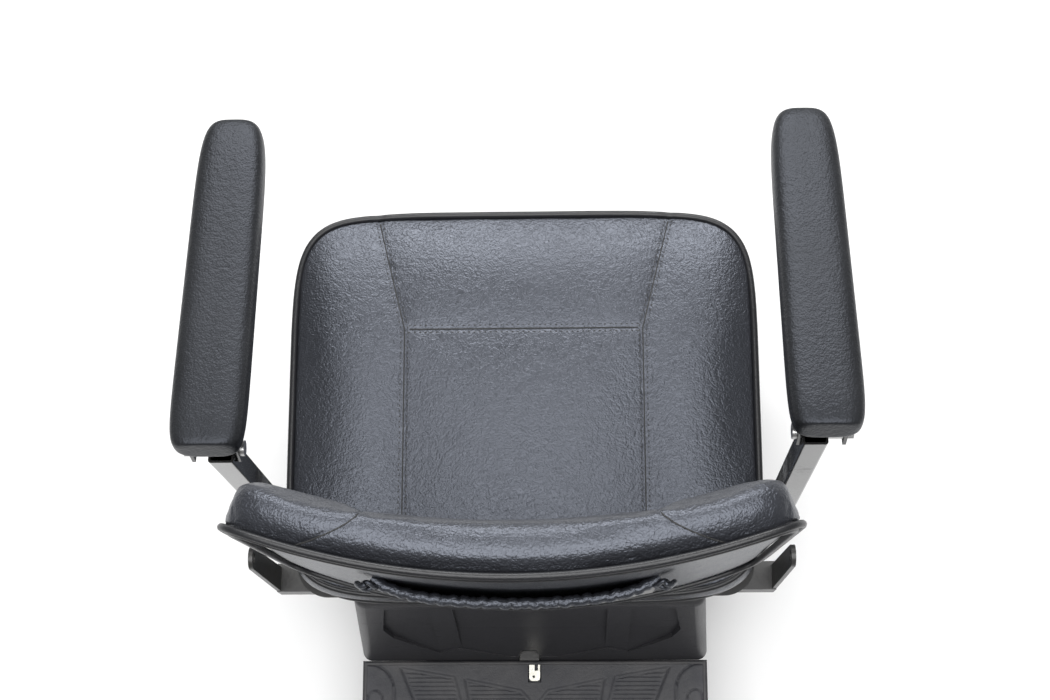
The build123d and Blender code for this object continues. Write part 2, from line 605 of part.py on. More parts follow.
def add_rim(centre, radius, width, bore, hub_r):
    """One spoked rim about an axle along X, added to the current part."""
    axle = Axis(centre, (1, 0, 0))
    revolve(rim_profile(centre, radius, width, bore, hub_r), axis=axle)
    bead = radius - TYRE_DEPTH
    hole_mid = (bead - RIM_WALL + hub_r) / 2
    hole_r = (bead - RIM_WALL - hub_r) / 2 - 4
    start = Plane(origin=(centre[0] - 10, centre[1], centre[2]), x_dir=(0, 1, 0), z_dir=(1, 0, 0))
    with BuildSketch(start) as holes:
        with PolarLocations(hole_mid, SPOKES):
            Circle(hole_r)
    extrude(holes.sketch, amount=20, mode=Mode.SUBTRACT)


def add_tyre(centre, radius, width):
    """One solid tyre with a rounded tread about an axle along X."""
    bead = radius - TYRE_DEPTH
    plane = Plane(origin=centre, x_dir=(0, 0, 1), z_dir=(0, 1, 0))
    with BuildSketch(plane) as section:
        with BuildLine():
            Polyline((bead, -width / 2 + 6), (bead, width / 2 - 6), (bead + 8, width / 2),
                     (radius - 14, width / 2))
            ThreePointArc((radius - 14, width / 2), (radius, 0), (radius - 14, -width / 2))
            Polyline((radius - 14, -width / 2), (bead + 8, -width / 2), (bead, -width / 2 + 6))
        make_face()
    revolve(section.sketch, axis=Axis(centre, (1, 0, 0)))


with BuildPart() as rear_rims:
    for s in (-1, 1):
        add_rim(at(s * REAR_TRACK_HALF, REAR_WHEEL_Y, REAR_WHEEL_R), REAR_WHEEL_R, REAR_TYRE_W,
                AXLE_R, HUB_R)
save(rear_rims, "rear_rims")

with BuildPart() as rear_tyres:
    for s in (-1, 1):
        add_tyre(at(s * REAR_TRACK_HALF, REAR_WHEEL_Y, REAR_WHEEL_R), REAR_WHEEL_R, REAR_TYRE_W)
save(rear_tyres, "rear_tyres")

for name, s in SIDES.items():
    wheel_centre = at(s * FRONT_TRACK_HALF, FRONT_WHEEL_Y, FRONT_WHEEL_R)
    with BuildPart() as front_rim:
        add_rim(wheel_centre, FRONT_WHEEL_R, FRONT_TYRE_W, STUB_R + FIT, HUB_R - 4)
    save(front_rim, f"front_rim_{name}")
    with BuildPart() as front_tyre:
        add_tyre(wheel_centre, FRONT_WHEEL_R, FRONT_TYRE_W)
    save(front_tyre, f"front_tyre_{name}")

# ---- steering -----------------------------------------------------------------------------
SLEEVE_LOW = BEAM_LOW - 5
SLEEVE_TOP = SLEEVE_LOW + BEAM + 10
ARM_T = 8.0
RUN = 0.4  # end float
LINK_TOP = SLEEVE_LOW - RUN
LINK_LOW = LINK_TOP - ARM_T
PIN_R = 4.0
TIE_T = 8.0
TIE_TOP = LINK_LOW - RUN
UPRIGHT_X = KINGPIN_X + SLEEVE_R + 3.0
UPRIGHT_T = 8.0
STUB_END = FRONT_TRACK_HALF + FRONT_TYRE_W / 2 - 6
ROD_Y = FRONT_WHEEL_Y + LINK_ARM

for name, s in SIDES.items():
    with BuildPart() as knuckle:
        with BuildSketch(top(LINK_LOW)):
            with Locations((s * KINGPIN_X, FRONT_WHEEL_Y)):
                Circle(SLEEVE_R - 1)
            with Locations((s * KINGPIN_X, FRONT_WHEEL_Y + LINK_ARM / 2)):
                Rectangle(16, LINK_ARM)
            with Locations((s * KINGPIN_X, ROD_Y)):
                Circle(8)
            with Locations((s * (KINGPIN_X + UPRIGHT_X + UPRIGHT_T) / 2, FRONT_WHEEL_Y)):
                Rectangle(UPRIGHT_X + UPRIGHT_T - KINGPIN_X, 26)
        extrude(amount=ARM_T)
        with BuildSketch(top(LINK_TOP)):
            with Locations((s * KINGPIN_X, FRONT_WHEEL_Y)):
                Circle(KINGPIN_R)
        extrude(amount=SLEEVE_TOP - LINK_TOP + RUN)
        with BuildSketch(top(SLEEVE_TOP + RUN)):
            with Locations((s * KINGPIN_X, FRONT_WHEEL_Y)):
                Circle(KINGPIN_R + 5)
        extrude(amount=7)
        with Locations(at(s * (UPRIGHT_X + UPRIGHT_T / 2), FRONT_WHEEL_Y,
                          (LINK_LOW + FRONT_WHEEL_R + 12) / 2)):
            Box(UPRIGHT_T, 26, FRONT_WHEEL_R + 12 - LINK_LOW)
        with BuildSketch(side(s * (UPRIGHT_X + UPRIGHT_T))):
            with Locations((FRONT_WHEEL_Y, FRONT_WHEEL_R)):
                Circle(STUB_R)
        extrude(amount=s * (STUB_END - UPRIGHT_X - UPRIGHT_T + 7))
        with BuildSketch(side(s * (UPRIGHT_X + UPRIGHT_T))):
            with Locations((FRONT_WHEEL_Y, FRONT_WHEEL_R)):
                Circle(STUB_R + 4)
        HUB_IN = FRONT_TRACK_HALF - (FRONT_TYRE_W / 2 - 6) + 2
        extrude(amount=s * (HUB_IN - RUN - UPRIGHT_X - UPRIGHT_T))
        with BuildSketch(side(s * (STUB_END - 1))):
            with Locations((FRONT_WHEEL_Y, FRONT_WHEEL_R)):
                Circle(STUB_R + 4)
        extrude(amount=s * 8)
        with BuildSketch(top(TIE_TOP - TIE_T - RUN)):
            with Locations((s * KINGPIN_X, ROD_Y)):
                Circle(PIN_R)
        extrude(amount=TIE_T + 2 * RUN)
    save(knuckle, f"knuckle_{name}")

with BuildPart() as steering_stem:
    with BuildSketch(top(LINK_LOW)):
        with Locations((0, FRONT_WHEEL_Y)):
            Circle(STEM_R + 5)
        with Locations((0, FRONT_WHEEL_Y + LINK_ARM / 2)):
            Rectangle(16, LINK_ARM)
        with Locations((0, ROD_Y)):
            Circle(8)
    extrude(amount=ARM_T)
    with BuildSketch(top(LINK_TOP)):
        with Locations((0, FRONT_WHEEL_Y)):
            Circle(STEM_R)
    extrude(amount=HEAD_TOP + RUN - LINK_TOP)
    with BuildSketch(top(TIE_TOP - TIE_T - RUN)):
        with Locations((0, ROD_Y)):
            Circle(PIN_R)
    extrude(amount=TIE_T + 2 * RUN)
    with BuildSketch(top(HEAD_TOP + RUN)):
        with Locations((0, FRONT_WHEEL_Y)):
            RectangleRounded(62, 44, 6)
    extrude(amount=6)
    for s in (-1, 1):
        with BuildSketch(side(s * 26 - 4)):
            with BuildLine():
                Polyline((FRONT_WHEEL_Y - 20, HEAD_TOP + RUN), (FRONT_WHEEL_Y + 20, HEAD_TOP + RUN),
                         (FRONT_WHEEL_Y + 16, PIVOT_Z))
                ThreePointArc((FRONT_WHEEL_Y + 16, PIVOT_Z), (FRONT_WHEEL_Y, PIVOT_Z + 16),
                              (FRONT_WHEEL_Y - 16, PIVOT_Z))
                Line((FRONT_WHEEL_Y - 16, PIVOT_Z), (FRONT_WHEEL_Y - 20, HEAD_TOP + RUN))
            make_face()
        extrude(amount=8)
    TILT_PIN_R = 5.0
    with BuildSketch(side(-40)):
        with Locations((FRONT_WHEEL_Y, PIVOT_Z)):
            Circle(TILT_PIN_R + FIT)
    extrude(amount=80, mode=Mode.SUBTRACT)
save(steering_stem, "steering_stem")

with BuildPart() as tie_rod:
    with BuildSketch(top(TIE_TOP - TIE_T)):
        with Locations((0, ROD_Y)):
            Rectangle(2 * KINGPIN_X, 12)
        with Locations(*[(x, ROD_Y) for x in (-KINGPIN_X, 0, KINGPIN_X)]):
            Circle(9)
        with Locations(*[(x, ROD_Y) for x in (-KINGPIN_X, 0, KINGPIN_X)]):
            Circle(PIN_R + FIT, mode=Mode.SUBTRACT)
    extrude(amount=TIE_T)
save(tie_rod, "tie_rod")

# ---- front fairing and lamp -----------------------------------------------------------------
NOSE_Y = REAR_REACH - LENGTH
FAIRING_LOW = FRONT_RAIL_Z + TUBE
FAIRING_TOP = HEAD_TOP - 6
FAIRING_HALF = 116.0
FAIRING_BACK = FLOOR_FRONT - 1


def fairing_section(z, half, front, rear, corner):
    """One plan outline of the nose cover at height z."""
    with BuildSketch(top(z)) as outline:
        with Locations((0, (front + rear) / 2)):
            RectangleRounded(2 * half, rear - front, corner)
    return outline.sketch


with BuildPart() as front_fairing:
    loft([fairing_section(FAIRING_LOW, FAIRING_HALF, NOSE_Y, FAIRING_BACK, 40),
          fairing_section(FAIRING_TOP, 58, FRONT_WHEEL_Y - 62, FRONT_WHEEL_Y + 52, 24)])
    fillet(front_fairing.faces().sort_by(Axis.Z)[-1].edges(), 10)
    loft([fairing_section(FAIRING_LOW - 1, FAIRING_HALF - WALL, NOSE_Y + WALL, FAIRING_BACK - WALL, 37),
          fairing_section(FAIRING_TOP - WALL, 55, FRONT_WHEEL_Y - 59, FRONT_WHEEL_Y + 49, 21)],
         mode=Mode.SUBTRACT)
    with BuildSketch(top(FAIRING_TOP - 30)):
        with Locations((0, FRONT_WHEEL_Y)):
            Circle(HEAD_R + 1)
    extrude(amount=40, mode=Mode.SUBTRACT)
    LAMP_Z = FAIRING_LOW + 30
    LAMP_Y = NOSE_Y + 8
    with BuildSketch(face(LAMP_Y + 24)):
        with Locations((0, LAMP_Z)):
            RectangleRounded(70.6, 24.6, 12)
    extrude(amount=50, mode=Mode.SUBTRACT)
save(front_fairing, "front_fairing")

with BuildPart() as headlight:
    with BuildSketch(face(LAMP_Y + 34)):
        with Locations((0, LAMP_Z)):
            RectangleRounded(70, 24, 11.7)
    extrude(amount=28)
    fillet(headlight.faces().sort_by(Axis.Y)[0].edges(), 4)
save(headlight, "headlight")

# ---- frame latch --------------------------------------------------------------------------

LEVER_HALF = LUG_X - LUG_T / 2 - GAP
with BuildPart() as latch_lever:
    with BuildSketch(side(FINGER_X - LUG_X - LUG_T / 2)):
        with Locations((LATCH_PIN_Y, LATCH_PIN_Z)):
            Circle(LATCH_PIN_R)
    extrude(amount=2 * LUG_X + LUG_T)
    with Locations(at(FINGER_X, LATCH_PIN_Y - 3.8, LATCH_PIN_Z)):
        Box(2 * LEVER_HALF - 3, 12, 4.4)
    fillet(latch_lever.edges().filter_by(Axis.X).sort_by(Axis.Y)[0:2], 1.5)
save(latch_lever, "latch_lever")

with BuildPart() as hook_plate:
    with BuildSketch(top(PAN_TOP)):
        with Locations((0, HOOK_REAR_Y - HOOK_LENGTH / 2)):
            Rectangle(HOOK_W, HOOK_LENGTH)
        fillet(vertices().group_by(Axis.Y)[0], 4)
        with Locations((2, HOOK_REAR_Y)):
            Rectangle(4, 14, mode=Mode.SUBTRACT)
        with Locations((-1, HOOK_REAR_Y - HOOK_LENGTH + 5)):
            Circle(1.6, mode=Mode.SUBTRACT)
    extrude(amount=HOOK_T)
save(hook_plate, "hook_plate")

# ---- freewheel lever ----------------------------------------------------------------------
FREE_X = CASE_HALF + MOTOR_LENGTH
with BuildPart() as freewheel_lever:
    with BuildSketch(pinion_plane.offset(FREE_X + GAP)):
        Circle(9)
        with Locations((22, 0)):
            Rectangle(44, 10)
        with Locations((44, 0)):
            Circle(9)
    extrude(amount=5)
    with BuildSketch(pinion_plane.offset(FREE_X - FREE_PIN_DEPTH + RUN)):
        Circle(FREE_PIN_R)
    extrude(amount=FREE_PIN_DEPTH)
save(freewheel_lever, "freewheel_lever")

# ---- tiller -------------------------------------------------------------------------------
EYE_HALF = 22.0 - GAP
CONSOLE_HALF = 75.0
CONSOLE_LOW = 596.0
CONSOLE_TOP = 690.0
CONSOLE_FRONT = -38.0
CONSOLE_REAR = 46.0
BAR_R = 11.0
BAR_Z = 655.0
BAR_STRAIGHT = 112.0
BAR_END = (214.0, 56.0)
GRIP_R = 16.0
GRIP_LENGTH = 100.0
PADDLE_Y = 30.0
PADDLE_Z = 618.0
PADDLE_SHAFT_R = 4.0
TILLER = Plane(origin=at(0, FRONT_WHEEL_Y, PIVOT_Z), x_dir=(1, 0, 0),
               z_dir=(0, sin(radians(RAKE)), cos(radians(RAKE))))


def tiller_side(x):
    """Side plane in the tiller's own frame: sketch x towards the driver, sketch y up the column."""
    start = TILLER.from_local_coords(Vector(x, 0, 0))
    return Plane(origin=start, x_dir=TILLER.y_dir, z_dir=TILLER.x_dir)


with BuildPart() as tiller_column:
    with BuildSketch(tiller_side(-EYE_HALF)):
        Circle(14)
        with Locations((0, 16)):
            Rectangle(28, 32)
    extrude(amount=2 * EYE_HALF)
    with BuildSketch(tiller_side(-45)):
        Circle(TILT_PIN_R)
    extrude(amount=77)
    with BuildSketch(TILLER.offset(20)):
        Circle(COLUMN_R)
    extrude(amount=COLUMN_TOP - 20)
    with BuildSketch(TILLER.offset(COLUMN_TOP - 4)):
        Rectangle(50, 2 * COLUMN_R)
    extrude(amount=2 * (BAR_Z - COLUMN_TOP + 4))
    with BuildSketch(TILLER.offset(34)):
        Circle(COLUMN_R - 2.5)
    extrude(amount=COLUMN_TOP - 38, mode=Mode.SUBTRACT)
    with BuildSketch(tiller_side(-30)):
        with Locations((0, BAR_Z)):
            Circle(BAR_R)
    extrude(amount=60, mode=Mode.SUBTRACT)
save(tiller_column, "tiller_column")

with BuildPart() as tilt_lever:
    with BuildSketch(tiller_side(-44)):
        Circle(13)
        with Locations((32, 6)):
            Rectangle(64, 12, rotation=10)
        Circle(TILT_PIN_R + FIT, mode=Mode.SUBTRACT)
    extrude(amount=14 - GAP)
save(tilt_lever, "tilt_lever")

DIAL = (0, 18)
KEY = (-46, 14)
HORN = (46, 14)
STEM = 4.0
HORN_R = 8.0
with BuildPart() as console:
    with BuildSketch(TILLER.offset(CONSOLE_LOW)):
        with Locations((0, (CONSOLE_FRONT + CONSOLE_REAR) / 2)):
            RectangleRounded(2 * CONSOLE_HALF, CONSOLE_REAR - CONSOLE_FRONT, 18)
    extrude(amount=CONSOLE_TOP - CONSOLE_LOW)
    fillet(console.faces().sort_by(Axis(TILLER.origin, TILLER.z_dir))[-1].edges(), 7)
    with BuildSketch(TILLER.offset(CONSOLE_LOW + WALL)):
        with Locations((0, (CONSOLE_FRONT + CONSOLE_REAR) / 2)):
            RectangleRounded(2 * (CONSOLE_HALF - WALL), CONSOLE_REAR - CONSOLE_FRONT - 2 * WALL, 15)
    extrude(amount=CONSOLE_TOP - CONSOLE_LOW - 2 * WALL, mode=Mode.SUBTRACT)
    with BuildSketch(TILLER.offset(CONSOLE_LOW - 1)):
        Circle(COLUMN_R)
    extrude(amount=WALL + 2, mode=Mode.SUBTRACT)
    with BuildSketch(TILLER.offset(CONSOLE_TOP - WALL - 1)):
        with Locations(DIAL, KEY):
            Circle(STEM + FIT)
        with Locations(HORN):
            Circle(HORN_R + GAP)
    extrude(amount=WALL + 2, mode=Mode.SUBTRACT)
    with BuildSketch(tiller_side(-CONSOLE_HALF - 1)):
        with Locations((0, BAR_Z)):
            Circle(BAR_R)
        with Locations((PADDLE_Y, PADDLE_Z)):
            Circle(PADDLE_SHAFT_R + FIT)
    extrude(amount=2 * CONSOLE_HALF + 2, mode=Mode.SUBTRACT)
save(console, "console")

with BuildPart() as handlebar:
    with BuildLine(TILLER.offset(BAR_Z)) as bar_line:
        FilletPolyline((-BAR_END[0], BAR_END[1]), (-BAR_STRAIGHT, 0), (BAR_STRAIGHT, 0), BAR_END,
                       radius=60)
    with BuildSketch(Plane(origin=bar_line.line @ 0, z_dir=bar_line.line % 0)):
        Circle(BAR_R)
        Circle(BAR_R - 2, mode=Mode.SUBTRACT)
    sweep()
save(handlebar, "handlebar")

BAR_RUN = Vector(BAR_END[0] - BAR_STRAIGHT, BAR_END[1], 0).normalized()
with BuildPart() as handle_grips:
    for s in (-1, 1):
        tip = Vector(s * (BAR_END[0] + 4 * BAR_RUN.X), BAR_END[1] + 4 * BAR_RUN.Y, BAR_Z)
        tip_plane = Plane(origin=TILLER.from_local_coords(tip),
                          z_dir=TILLER.from_local_coords(tip - Vector(s * BAR_RUN.X, BAR_RUN.Y, 0))
                          - TILLER.from_local_coords(tip))
        with BuildSketch(tip_plane):
            Circle(GRIP_R)
        extrude(amount=GRIP_LENGTH)
        with BuildSketch(tip_plane.offset(4)):
            Circle(BAR_R)
        extrude(amount=GRIP_LENGTH, mode=Mode.SUBTRACT)
    fillet(handle_grips.edges().filter_by(GeomType.CIRCLE)
           .filter_by(lambda e: e.radius > GRIP_R - 1), 3)
save(handle_grips, "handle_grips")

with BuildPart() as throttle_paddle:
    with BuildSketch(tiller_side(-CONSOLE_HALF - 14)):
        with Locations((PADDLE_Y, PADDLE_Z)):
            Circle(PADDLE_SHAFT_R)
    extrude(amount=2 * CONSOLE_HALF + 28)
    for s in (-1, 1):
        with BuildSketch(tiller_side(s * (CONSOLE_HALF + 4))):
            with Locations((PADDLE_Y, PADDLE_Z)):
                Circle(8)
            with Locations((PADDLE_Y + 14, PADDLE_Z + 2)):
                RectangleRounded(32, 6, 2.9)
        extrude(amount=s * 62)
save(throttle_paddle, "throttle_paddle")

with BuildPart() as speed_dial:
    with BuildSketch(TILLER.offset(CONSOLE_TOP - 12)):
        with Locations(DIAL):
            Circle(STEM)
    extrude(amount=12 + GAP)
    with BuildSketch(TILLER.offset(CONSOLE_TOP + GAP)):
        with Locations(DIAL):
            Circle(17)
            with PolarLocations(17.6, 18):
                Circle(1.6, mode=Mode.SUBTRACT)
    extrude(amount=12)
    with BuildSketch(TILLER.offset(CONSOLE_TOP + GAP + 12)):
        with Locations((DIAL[0], DIAL[1] + 9)):
            Rectangle(2.4, 12)
    extrude(amount=1)
save(speed_dial, "speed_dial")

with BuildPart() as key:
    with BuildSketch(TILLER.offset(CONSOLE_TOP - 12)):
        with Locations(KEY):
            Circle(STEM)
    extrude(amount=12 + GAP)
    with BuildSketch(TILLER.offset(CONSOLE_TOP + GAP)):
        with Locations(KEY):
            Circle(7)
    extrude(amount=4)
    with BuildSketch(TILLER.offset(CONSOLE_TOP + GAP + 4)):
        with Locations(KEY):
            RectangleRounded(3, 20, 1.4)
    extrude(amount=24)
save(key, "key")

HORN_TRAVEL = 2.0
with BuildPart() as horn_button:
    with BuildSketch(TILLER.offset(CONSOLE_TOP - 8)):
        with Locations(HORN):
            Circle(HORN_R)
    extrude(amount=13)
    fillet(horn_button.edges().sort_by(Axis(TILLER.origin, TILLER.z_dir))[-1], 2)
    with BuildSketch(TILLER.offset(CONSOLE_TOP - 8)):
        with Locations(HORN):
            Circle(HORN_R + 3)
    extrude(amount=8 - WALL - GAP)
save(horn_button, "horn_button")

# ---- seat post ----------------------------------------------------------------------------
KNOB_Z = POST_TUBE_TOP - 16
KNOB_SCREW_R = 5.0
BOSS_X = POST_TUBE_R + 9
BOSS = Plane(origin=at(0, 0, KNOB_Z), x_dir=(0, 0, 1), z_dir=(-1, 0, 0))
with BuildPart() as post_tube:
    with BuildSketch(top(REAR_RAIL_Z)):
        Circle(POST_TUBE_R)
    extrude(amount=POST_TUBE_TOP - REAR_RAIL_Z)
    with BuildSketch(BOSS):
        Circle(11)
    extrude(amount=BOSS_X)
    with BuildSketch(top(REAR_RAIL_Z)):
        Circle(POST_R + FIT)
    extrude(amount=POST_TUBE_TOP - REAR_RAIL_Z, mode=Mode.SUBTRACT)
    with BuildSketch(BOSS):
        Circle(KNOB_SCREW_R + FIT)
    extrude(amount=BOSS_X, mode=Mode.SUBTRACT)
save(post_tube, "post_tube")


with BuildPart() as post_knob:
    with BuildSketch(BOSS.offset(POST_R + GAP)):
        Circle(KNOB_SCREW_R)
    extrude(amount=BOSS_X - POST_R - GAP + 8)
    with BuildSketch(BOSS.offset(BOSS_X + 2)):
        Circle(20)
        with PolarLocations(23, 6):
            Circle(6, mode=Mode.SUBTRACT)
    extrude(amount=15)
save(post_knob, "post_knob")

PLATE_Z = SWIVEL_Z - 5.6
DISC_R = 45.0
PIVOT_R = 12.0
with BuildPart() as seat_post:
    with BuildSketch(top(200)):
        Circle(POST_R)
        Circle(POST_R - 3, mode=Mode.SUBTRACT)
    extrude(amount=PLATE_Z - RUN - 6 - 200)
    with BuildSketch(top(PLATE_Z - RUN - 6)):
        Circle(DISC_R)
    extrude(amount=6)
    with BuildSketch(top(PLATE_Z - RUN)):
        Circle(PIVOT_R)
    extrude(amount=SWIVEL_Z - PLATE_Z + RUN + RUN)
    with BuildSketch(top(SWIVEL_Z + RUN)):
        Circle(PIVOT_R + 6)
    extrude(amount=6)
save(seat_post, "seat_post")

# ---- seat frame ---------------------------------------------------------------------------
CROSS_HALF = 247.5
PLATE_T = 4.0
RECEIVER_HALF = RECEIVER / 2
REAR_CROSS_Y = -170.0
FRONT_CROSS_Y = 124.0
SEAT_RAIL_X = 85.0
SEAT_RAIL_TOP = BOARD_Z - RECEIVER
RECEIVER_END = 212.0
KNOB_X = 176.0
ARM_KNOB_R = 4.0


def arm_frame(name):
    """Plane at the receiver's axis whose normal is up along this arm's leaning upright."""
    lean = radians(ARM_LEAN[name])
    return Plane(origin=at(0, ARM_Y, ARM_Z), x_dir=(1, 0, 0), z_dir=(0, sin(lean), cos(lean)))


with BuildPart() as seat_frame:
    with BuildSketch(top(PLATE_Z)):
        RectangleRounded(2 * (SEAT_RAIL_X + 12), 200, 12)
    extrude(amount=SWIVEL_Z - PLATE_Z)
    for x in (-SEAT_RAIL_X, SEAT_RAIL_X):
        with Locations(at(x, (REAR_CROSS_Y + FRONT_CROSS_Y) / 2, (SWIVEL_Z + SEAT_RAIL_TOP) / 2)):
            Box(22, FRONT_CROSS_Y - REAR_CROSS_Y + RECEIVER, SEAT_RAIL_TOP - SWIVEL_Z)
    square_tube(RECEIVER, TUBE_WALL, 2 * (SEAT_RAIL_X + 40),
                [at(0, FRONT_CROSS_Y, BOARD_Z - RECEIVER_HALF)])
    square_tube(RECEIVER, TUBE_WALL, 2 * CROSS_HALF, [at(0, REAR_CROSS_Y, BOARD_Z - RECEIVER_HALF)])
    for s in (-1, 1):
        with BuildSketch(side(s * (CROSS_HALF - PLATE_T))):
            with BuildLine():
                Polyline((REAR_CROSS_Y - RECEIVER_HALF, BOARD_Z - RECEIVER),
                         (HINGE_Y + 2 * HINGE_R, BOARD_Z - RECEIVER),
                         (HINGE_Y + 2 * HINGE_R, HINGE_Z))
                ThreePointArc((HINGE_Y + 2 * HINGE_R, HINGE_Z), (HINGE_Y, HINGE_Z + 2 * HINGE_R),
                              (HINGE_Y - 2 * HINGE_R, HINGE_Z))
                Line((HINGE_Y - 2 * HINGE_R, HINGE_Z),
                     (REAR_CROSS_Y - RECEIVER_HALF, BOARD_Z - RECEIVER))
            make_face()
        extrude(amount=s * PLATE_T)
        with BuildSketch(side(s * (CROSS_HALF - PLATE_T - 1))):
            with Locations((HINGE_Y, HINGE_Z)):
                Circle(HINGE_R + FIT)
        extrude(amount=s * (PLATE_T + 2), mode=Mode.SUBTRACT)
    for name, s in SEAT_SIDES.items():
        receiver = Plane(origin=at(s * 15, ARM_Y, ARM_Z), x_dir=arm_frame(name).y_dir,
                         z_dir=(1, 0, 0))
        with BuildSketch(receiver):
            Rectangle(RECEIVER, RECEIVER)
        extrude(amount=s * (RECEIVER_END - 15))
        with BuildSketch(receiver):
            Rectangle(ARM_TUBE + 2 * RECEIVER_CLEARANCE, ARM_TUBE + 2 * RECEIVER_CLEARANCE)
        extrude(amount=s * RECEIVER_END, mode=Mode.SUBTRACT)
        with BuildSketch(arm_frame(name).offset(-RECEIVER_HALF - 8)):
            with Locations((s * KNOB_X, 0)):
                Circle(ARM_KNOB_R + 4)
        extrude(amount=9)
        with BuildSketch(arm_frame(name).offset(-RECEIVER_HALF - 9)):
            with Locations((s * KNOB_X, 0)):
                Circle(ARM_KNOB_R + FIT)
        extrude(amount=14, mode=Mode.SUBTRACT)
    with BuildSketch(top(PLATE_Z - 1)):
        Circle(PIVOT_R + FIT)
    extrude(amount=SWIVEL_Z - PLATE_Z + 2, mode=Mode.SUBTRACT)
    LEVER_AT = (72, 62)
    with BuildSketch(top(PLATE_Z - 8)):
        with Locations(LEVER_AT):
            Circle(4)
    extrude(amount=9)
save(seat_frame, "seat_frame")

with BuildPart() as swivel_lever:
    with BuildSketch(top(PLATE_Z - RUN - 5)):
        with Locations(LEVER_AT):
            Circle(11)
        with Locations((LEVER_AT[0] + 72, LEVER_AT[1])):
            Rectangle(144, 14)
        with Locations((LEVER_AT[0] + 144, LEVER_AT[1])):
            Circle(13)
        with Locations(LEVER_AT):
            Circle(4 + FIT, mode=Mode.SUBTRACT)
    extrude(amount=5)
save(swivel_lever, "swivel_lever")

for name, s in SEAT_SIDES.items():
    with BuildPart() as arm_knob:
        with BuildSketch(arm_frame(name).offset(-ARM_TUBE / 2 - GAP)):
            with Locations((s * KNOB_X, 0)):
                Circle(ARM_KNOB_R)
        extrude(amount=-(RECEIVER_HALF + 8 - ARM_TUBE / 2 + 6))
        with BuildSketch(arm_frame(name).offset(-RECEIVER_HALF - 10)):
            with Locations((s * KNOB_X, 0)):
                Circle(16)
                with PolarLocations(18.5, 6):
                    Circle(5, mode=Mode.SUBTRACT)
        extrude(amount=-14)
    save(arm_knob, f"arm_knob_{name}")

# ---- seat board and cushion ---------------------------------------------------------------
with BuildPart() as seat_board:
    with BuildSketch(top(BOARD_Z)):
        with Locations((0, (CUSHION_FRONT_Y + CUSHION_REAR_Y) / 2)):
            RectangleRounded(2 * CUSHION_HALF - 24, CUSHION_FRONT_Y - CUSHION_REAR_Y - 16, 30)
    extrude(amount=BOARD_T)
save(seat_board, "seat_board")

with BuildPart() as seat_cushion:
    with BuildSketch(top(BOARD_Z + BOARD_T)):
        with Locations((0, (CUSHION_FRONT_Y + CUSHION_REAR_Y) / 2)):
            RectangleRounded(2 * CUSHION_HALF, CUSHION_FRONT_Y - CUSHION_REAR_Y, 42)
    extrude(amount=CUSHION_TOP - BOARD_Z - BOARD_T)
    fillet(seat_cushion.faces().sort_by(Axis.Z)[-1].edges(), 20)
    fillet(seat_cushion.faces().sort_by(Axis.Z)[0].edges(), 12)
save(seat_cushion, "seat_cushion")

# ---- backrest -----------------------------------------------------------------------------
BACK = Plane(origin=at(0, BACK_BASE_Y, BACK_BASE_Z), x_dir=(1, 0, 0),
             z_dir=(0, -sin(radians(RECLINE)), cos(radians(RECLINE))))
BACK_ARC_R = (BACK_HALF**2 + BACK_SAG**2) / (2 * BACK_SAG)
HINGE_LOCAL = BACK.to_local_coords(Vector(*at(0, HINGE_Y, HINGE_Z)))


def back_band(near, far, half):
    """Plan of a curved layer of the backrest between two distances from its rear face."""
    near_r = BACK_ARC_R - near
    far_r = BACK_ARC_R - far
    near_end = BACK_ARC_R - sqrt(near_r**2 - half**2)
    far_end = BACK_ARC_R - sqrt(far_r**2 - half**2)
    with BuildSketch() as band:
        with BuildLine():
            ThreePointArc((-half, near_end), (0, near), (half, near_end))
            Line((half, near_end), (half, far_end))
            ThreePointArc((half, far_end), (0, far), (-half, far_end))
            Line((-half, far_end), (-half, near_end))
        make_face()
    return band.sketch


with BuildPart() as back_board:
    extrude(BACK * back_band(0, BACK_BOARD_T, BACK_HALF), amount=BACK_HEIGHT)
    LUG = 8.0
    for s in (-1, 1):
        with Locations(BACK * Location((s * (BACK_HALF + 2), HINGE_LOCAL.Y - 2, HINGE_LOCAL.Z))):
            Box(LUG, 22, 60)
        with BuildSketch(side(s * BACK_HALF)):
            with Locations((HINGE_Y, HINGE_Z)):
                Circle(HINGE_R)
        extrude(amount=s * (CROSS_HALF + 3 - BACK_HALF))
save(back_board, "back_board")

with BuildPart() as back_cushion:
    extrude(BACK * back_band(BACK_BOARD_T + GAP, BACK_BOARD_T + GAP + BACK_CUSHION_T, BACK_HALF - 1),
            amount=BACK_HEIGHT)
save(back_cushion, "back_cushion")

POCKET_T = 12.0
POCKET_HALF = 122.0
POCKET_LOW = 40.0
POCKET_TOP = 232.0
with BuildPart() as back_pocket:
    extrude(BACK.offset(POCKET_LOW) * back_band(-GAP - POCKET_T, -GAP, POCKET_HALF),
            amount=POCKET_TOP - POCKET_LOW)
save(back_pocket, "back_pocket")

# ---- armrests -----------------------------------------------------------------------------
BRACKET_T = 3.0
BRACKET_IN = -(ARM_TUBE / 2 + GAP + BRACKET_T)
BRACKET_OUT = 283.0 - ARM_X
PAD_REAR_Y = -4.0
WEB_START = 30.0  # the web begins ahead of the arm's end, which it swings past when lifted
WEB_END = 154.0
HEAD_T = 4.0

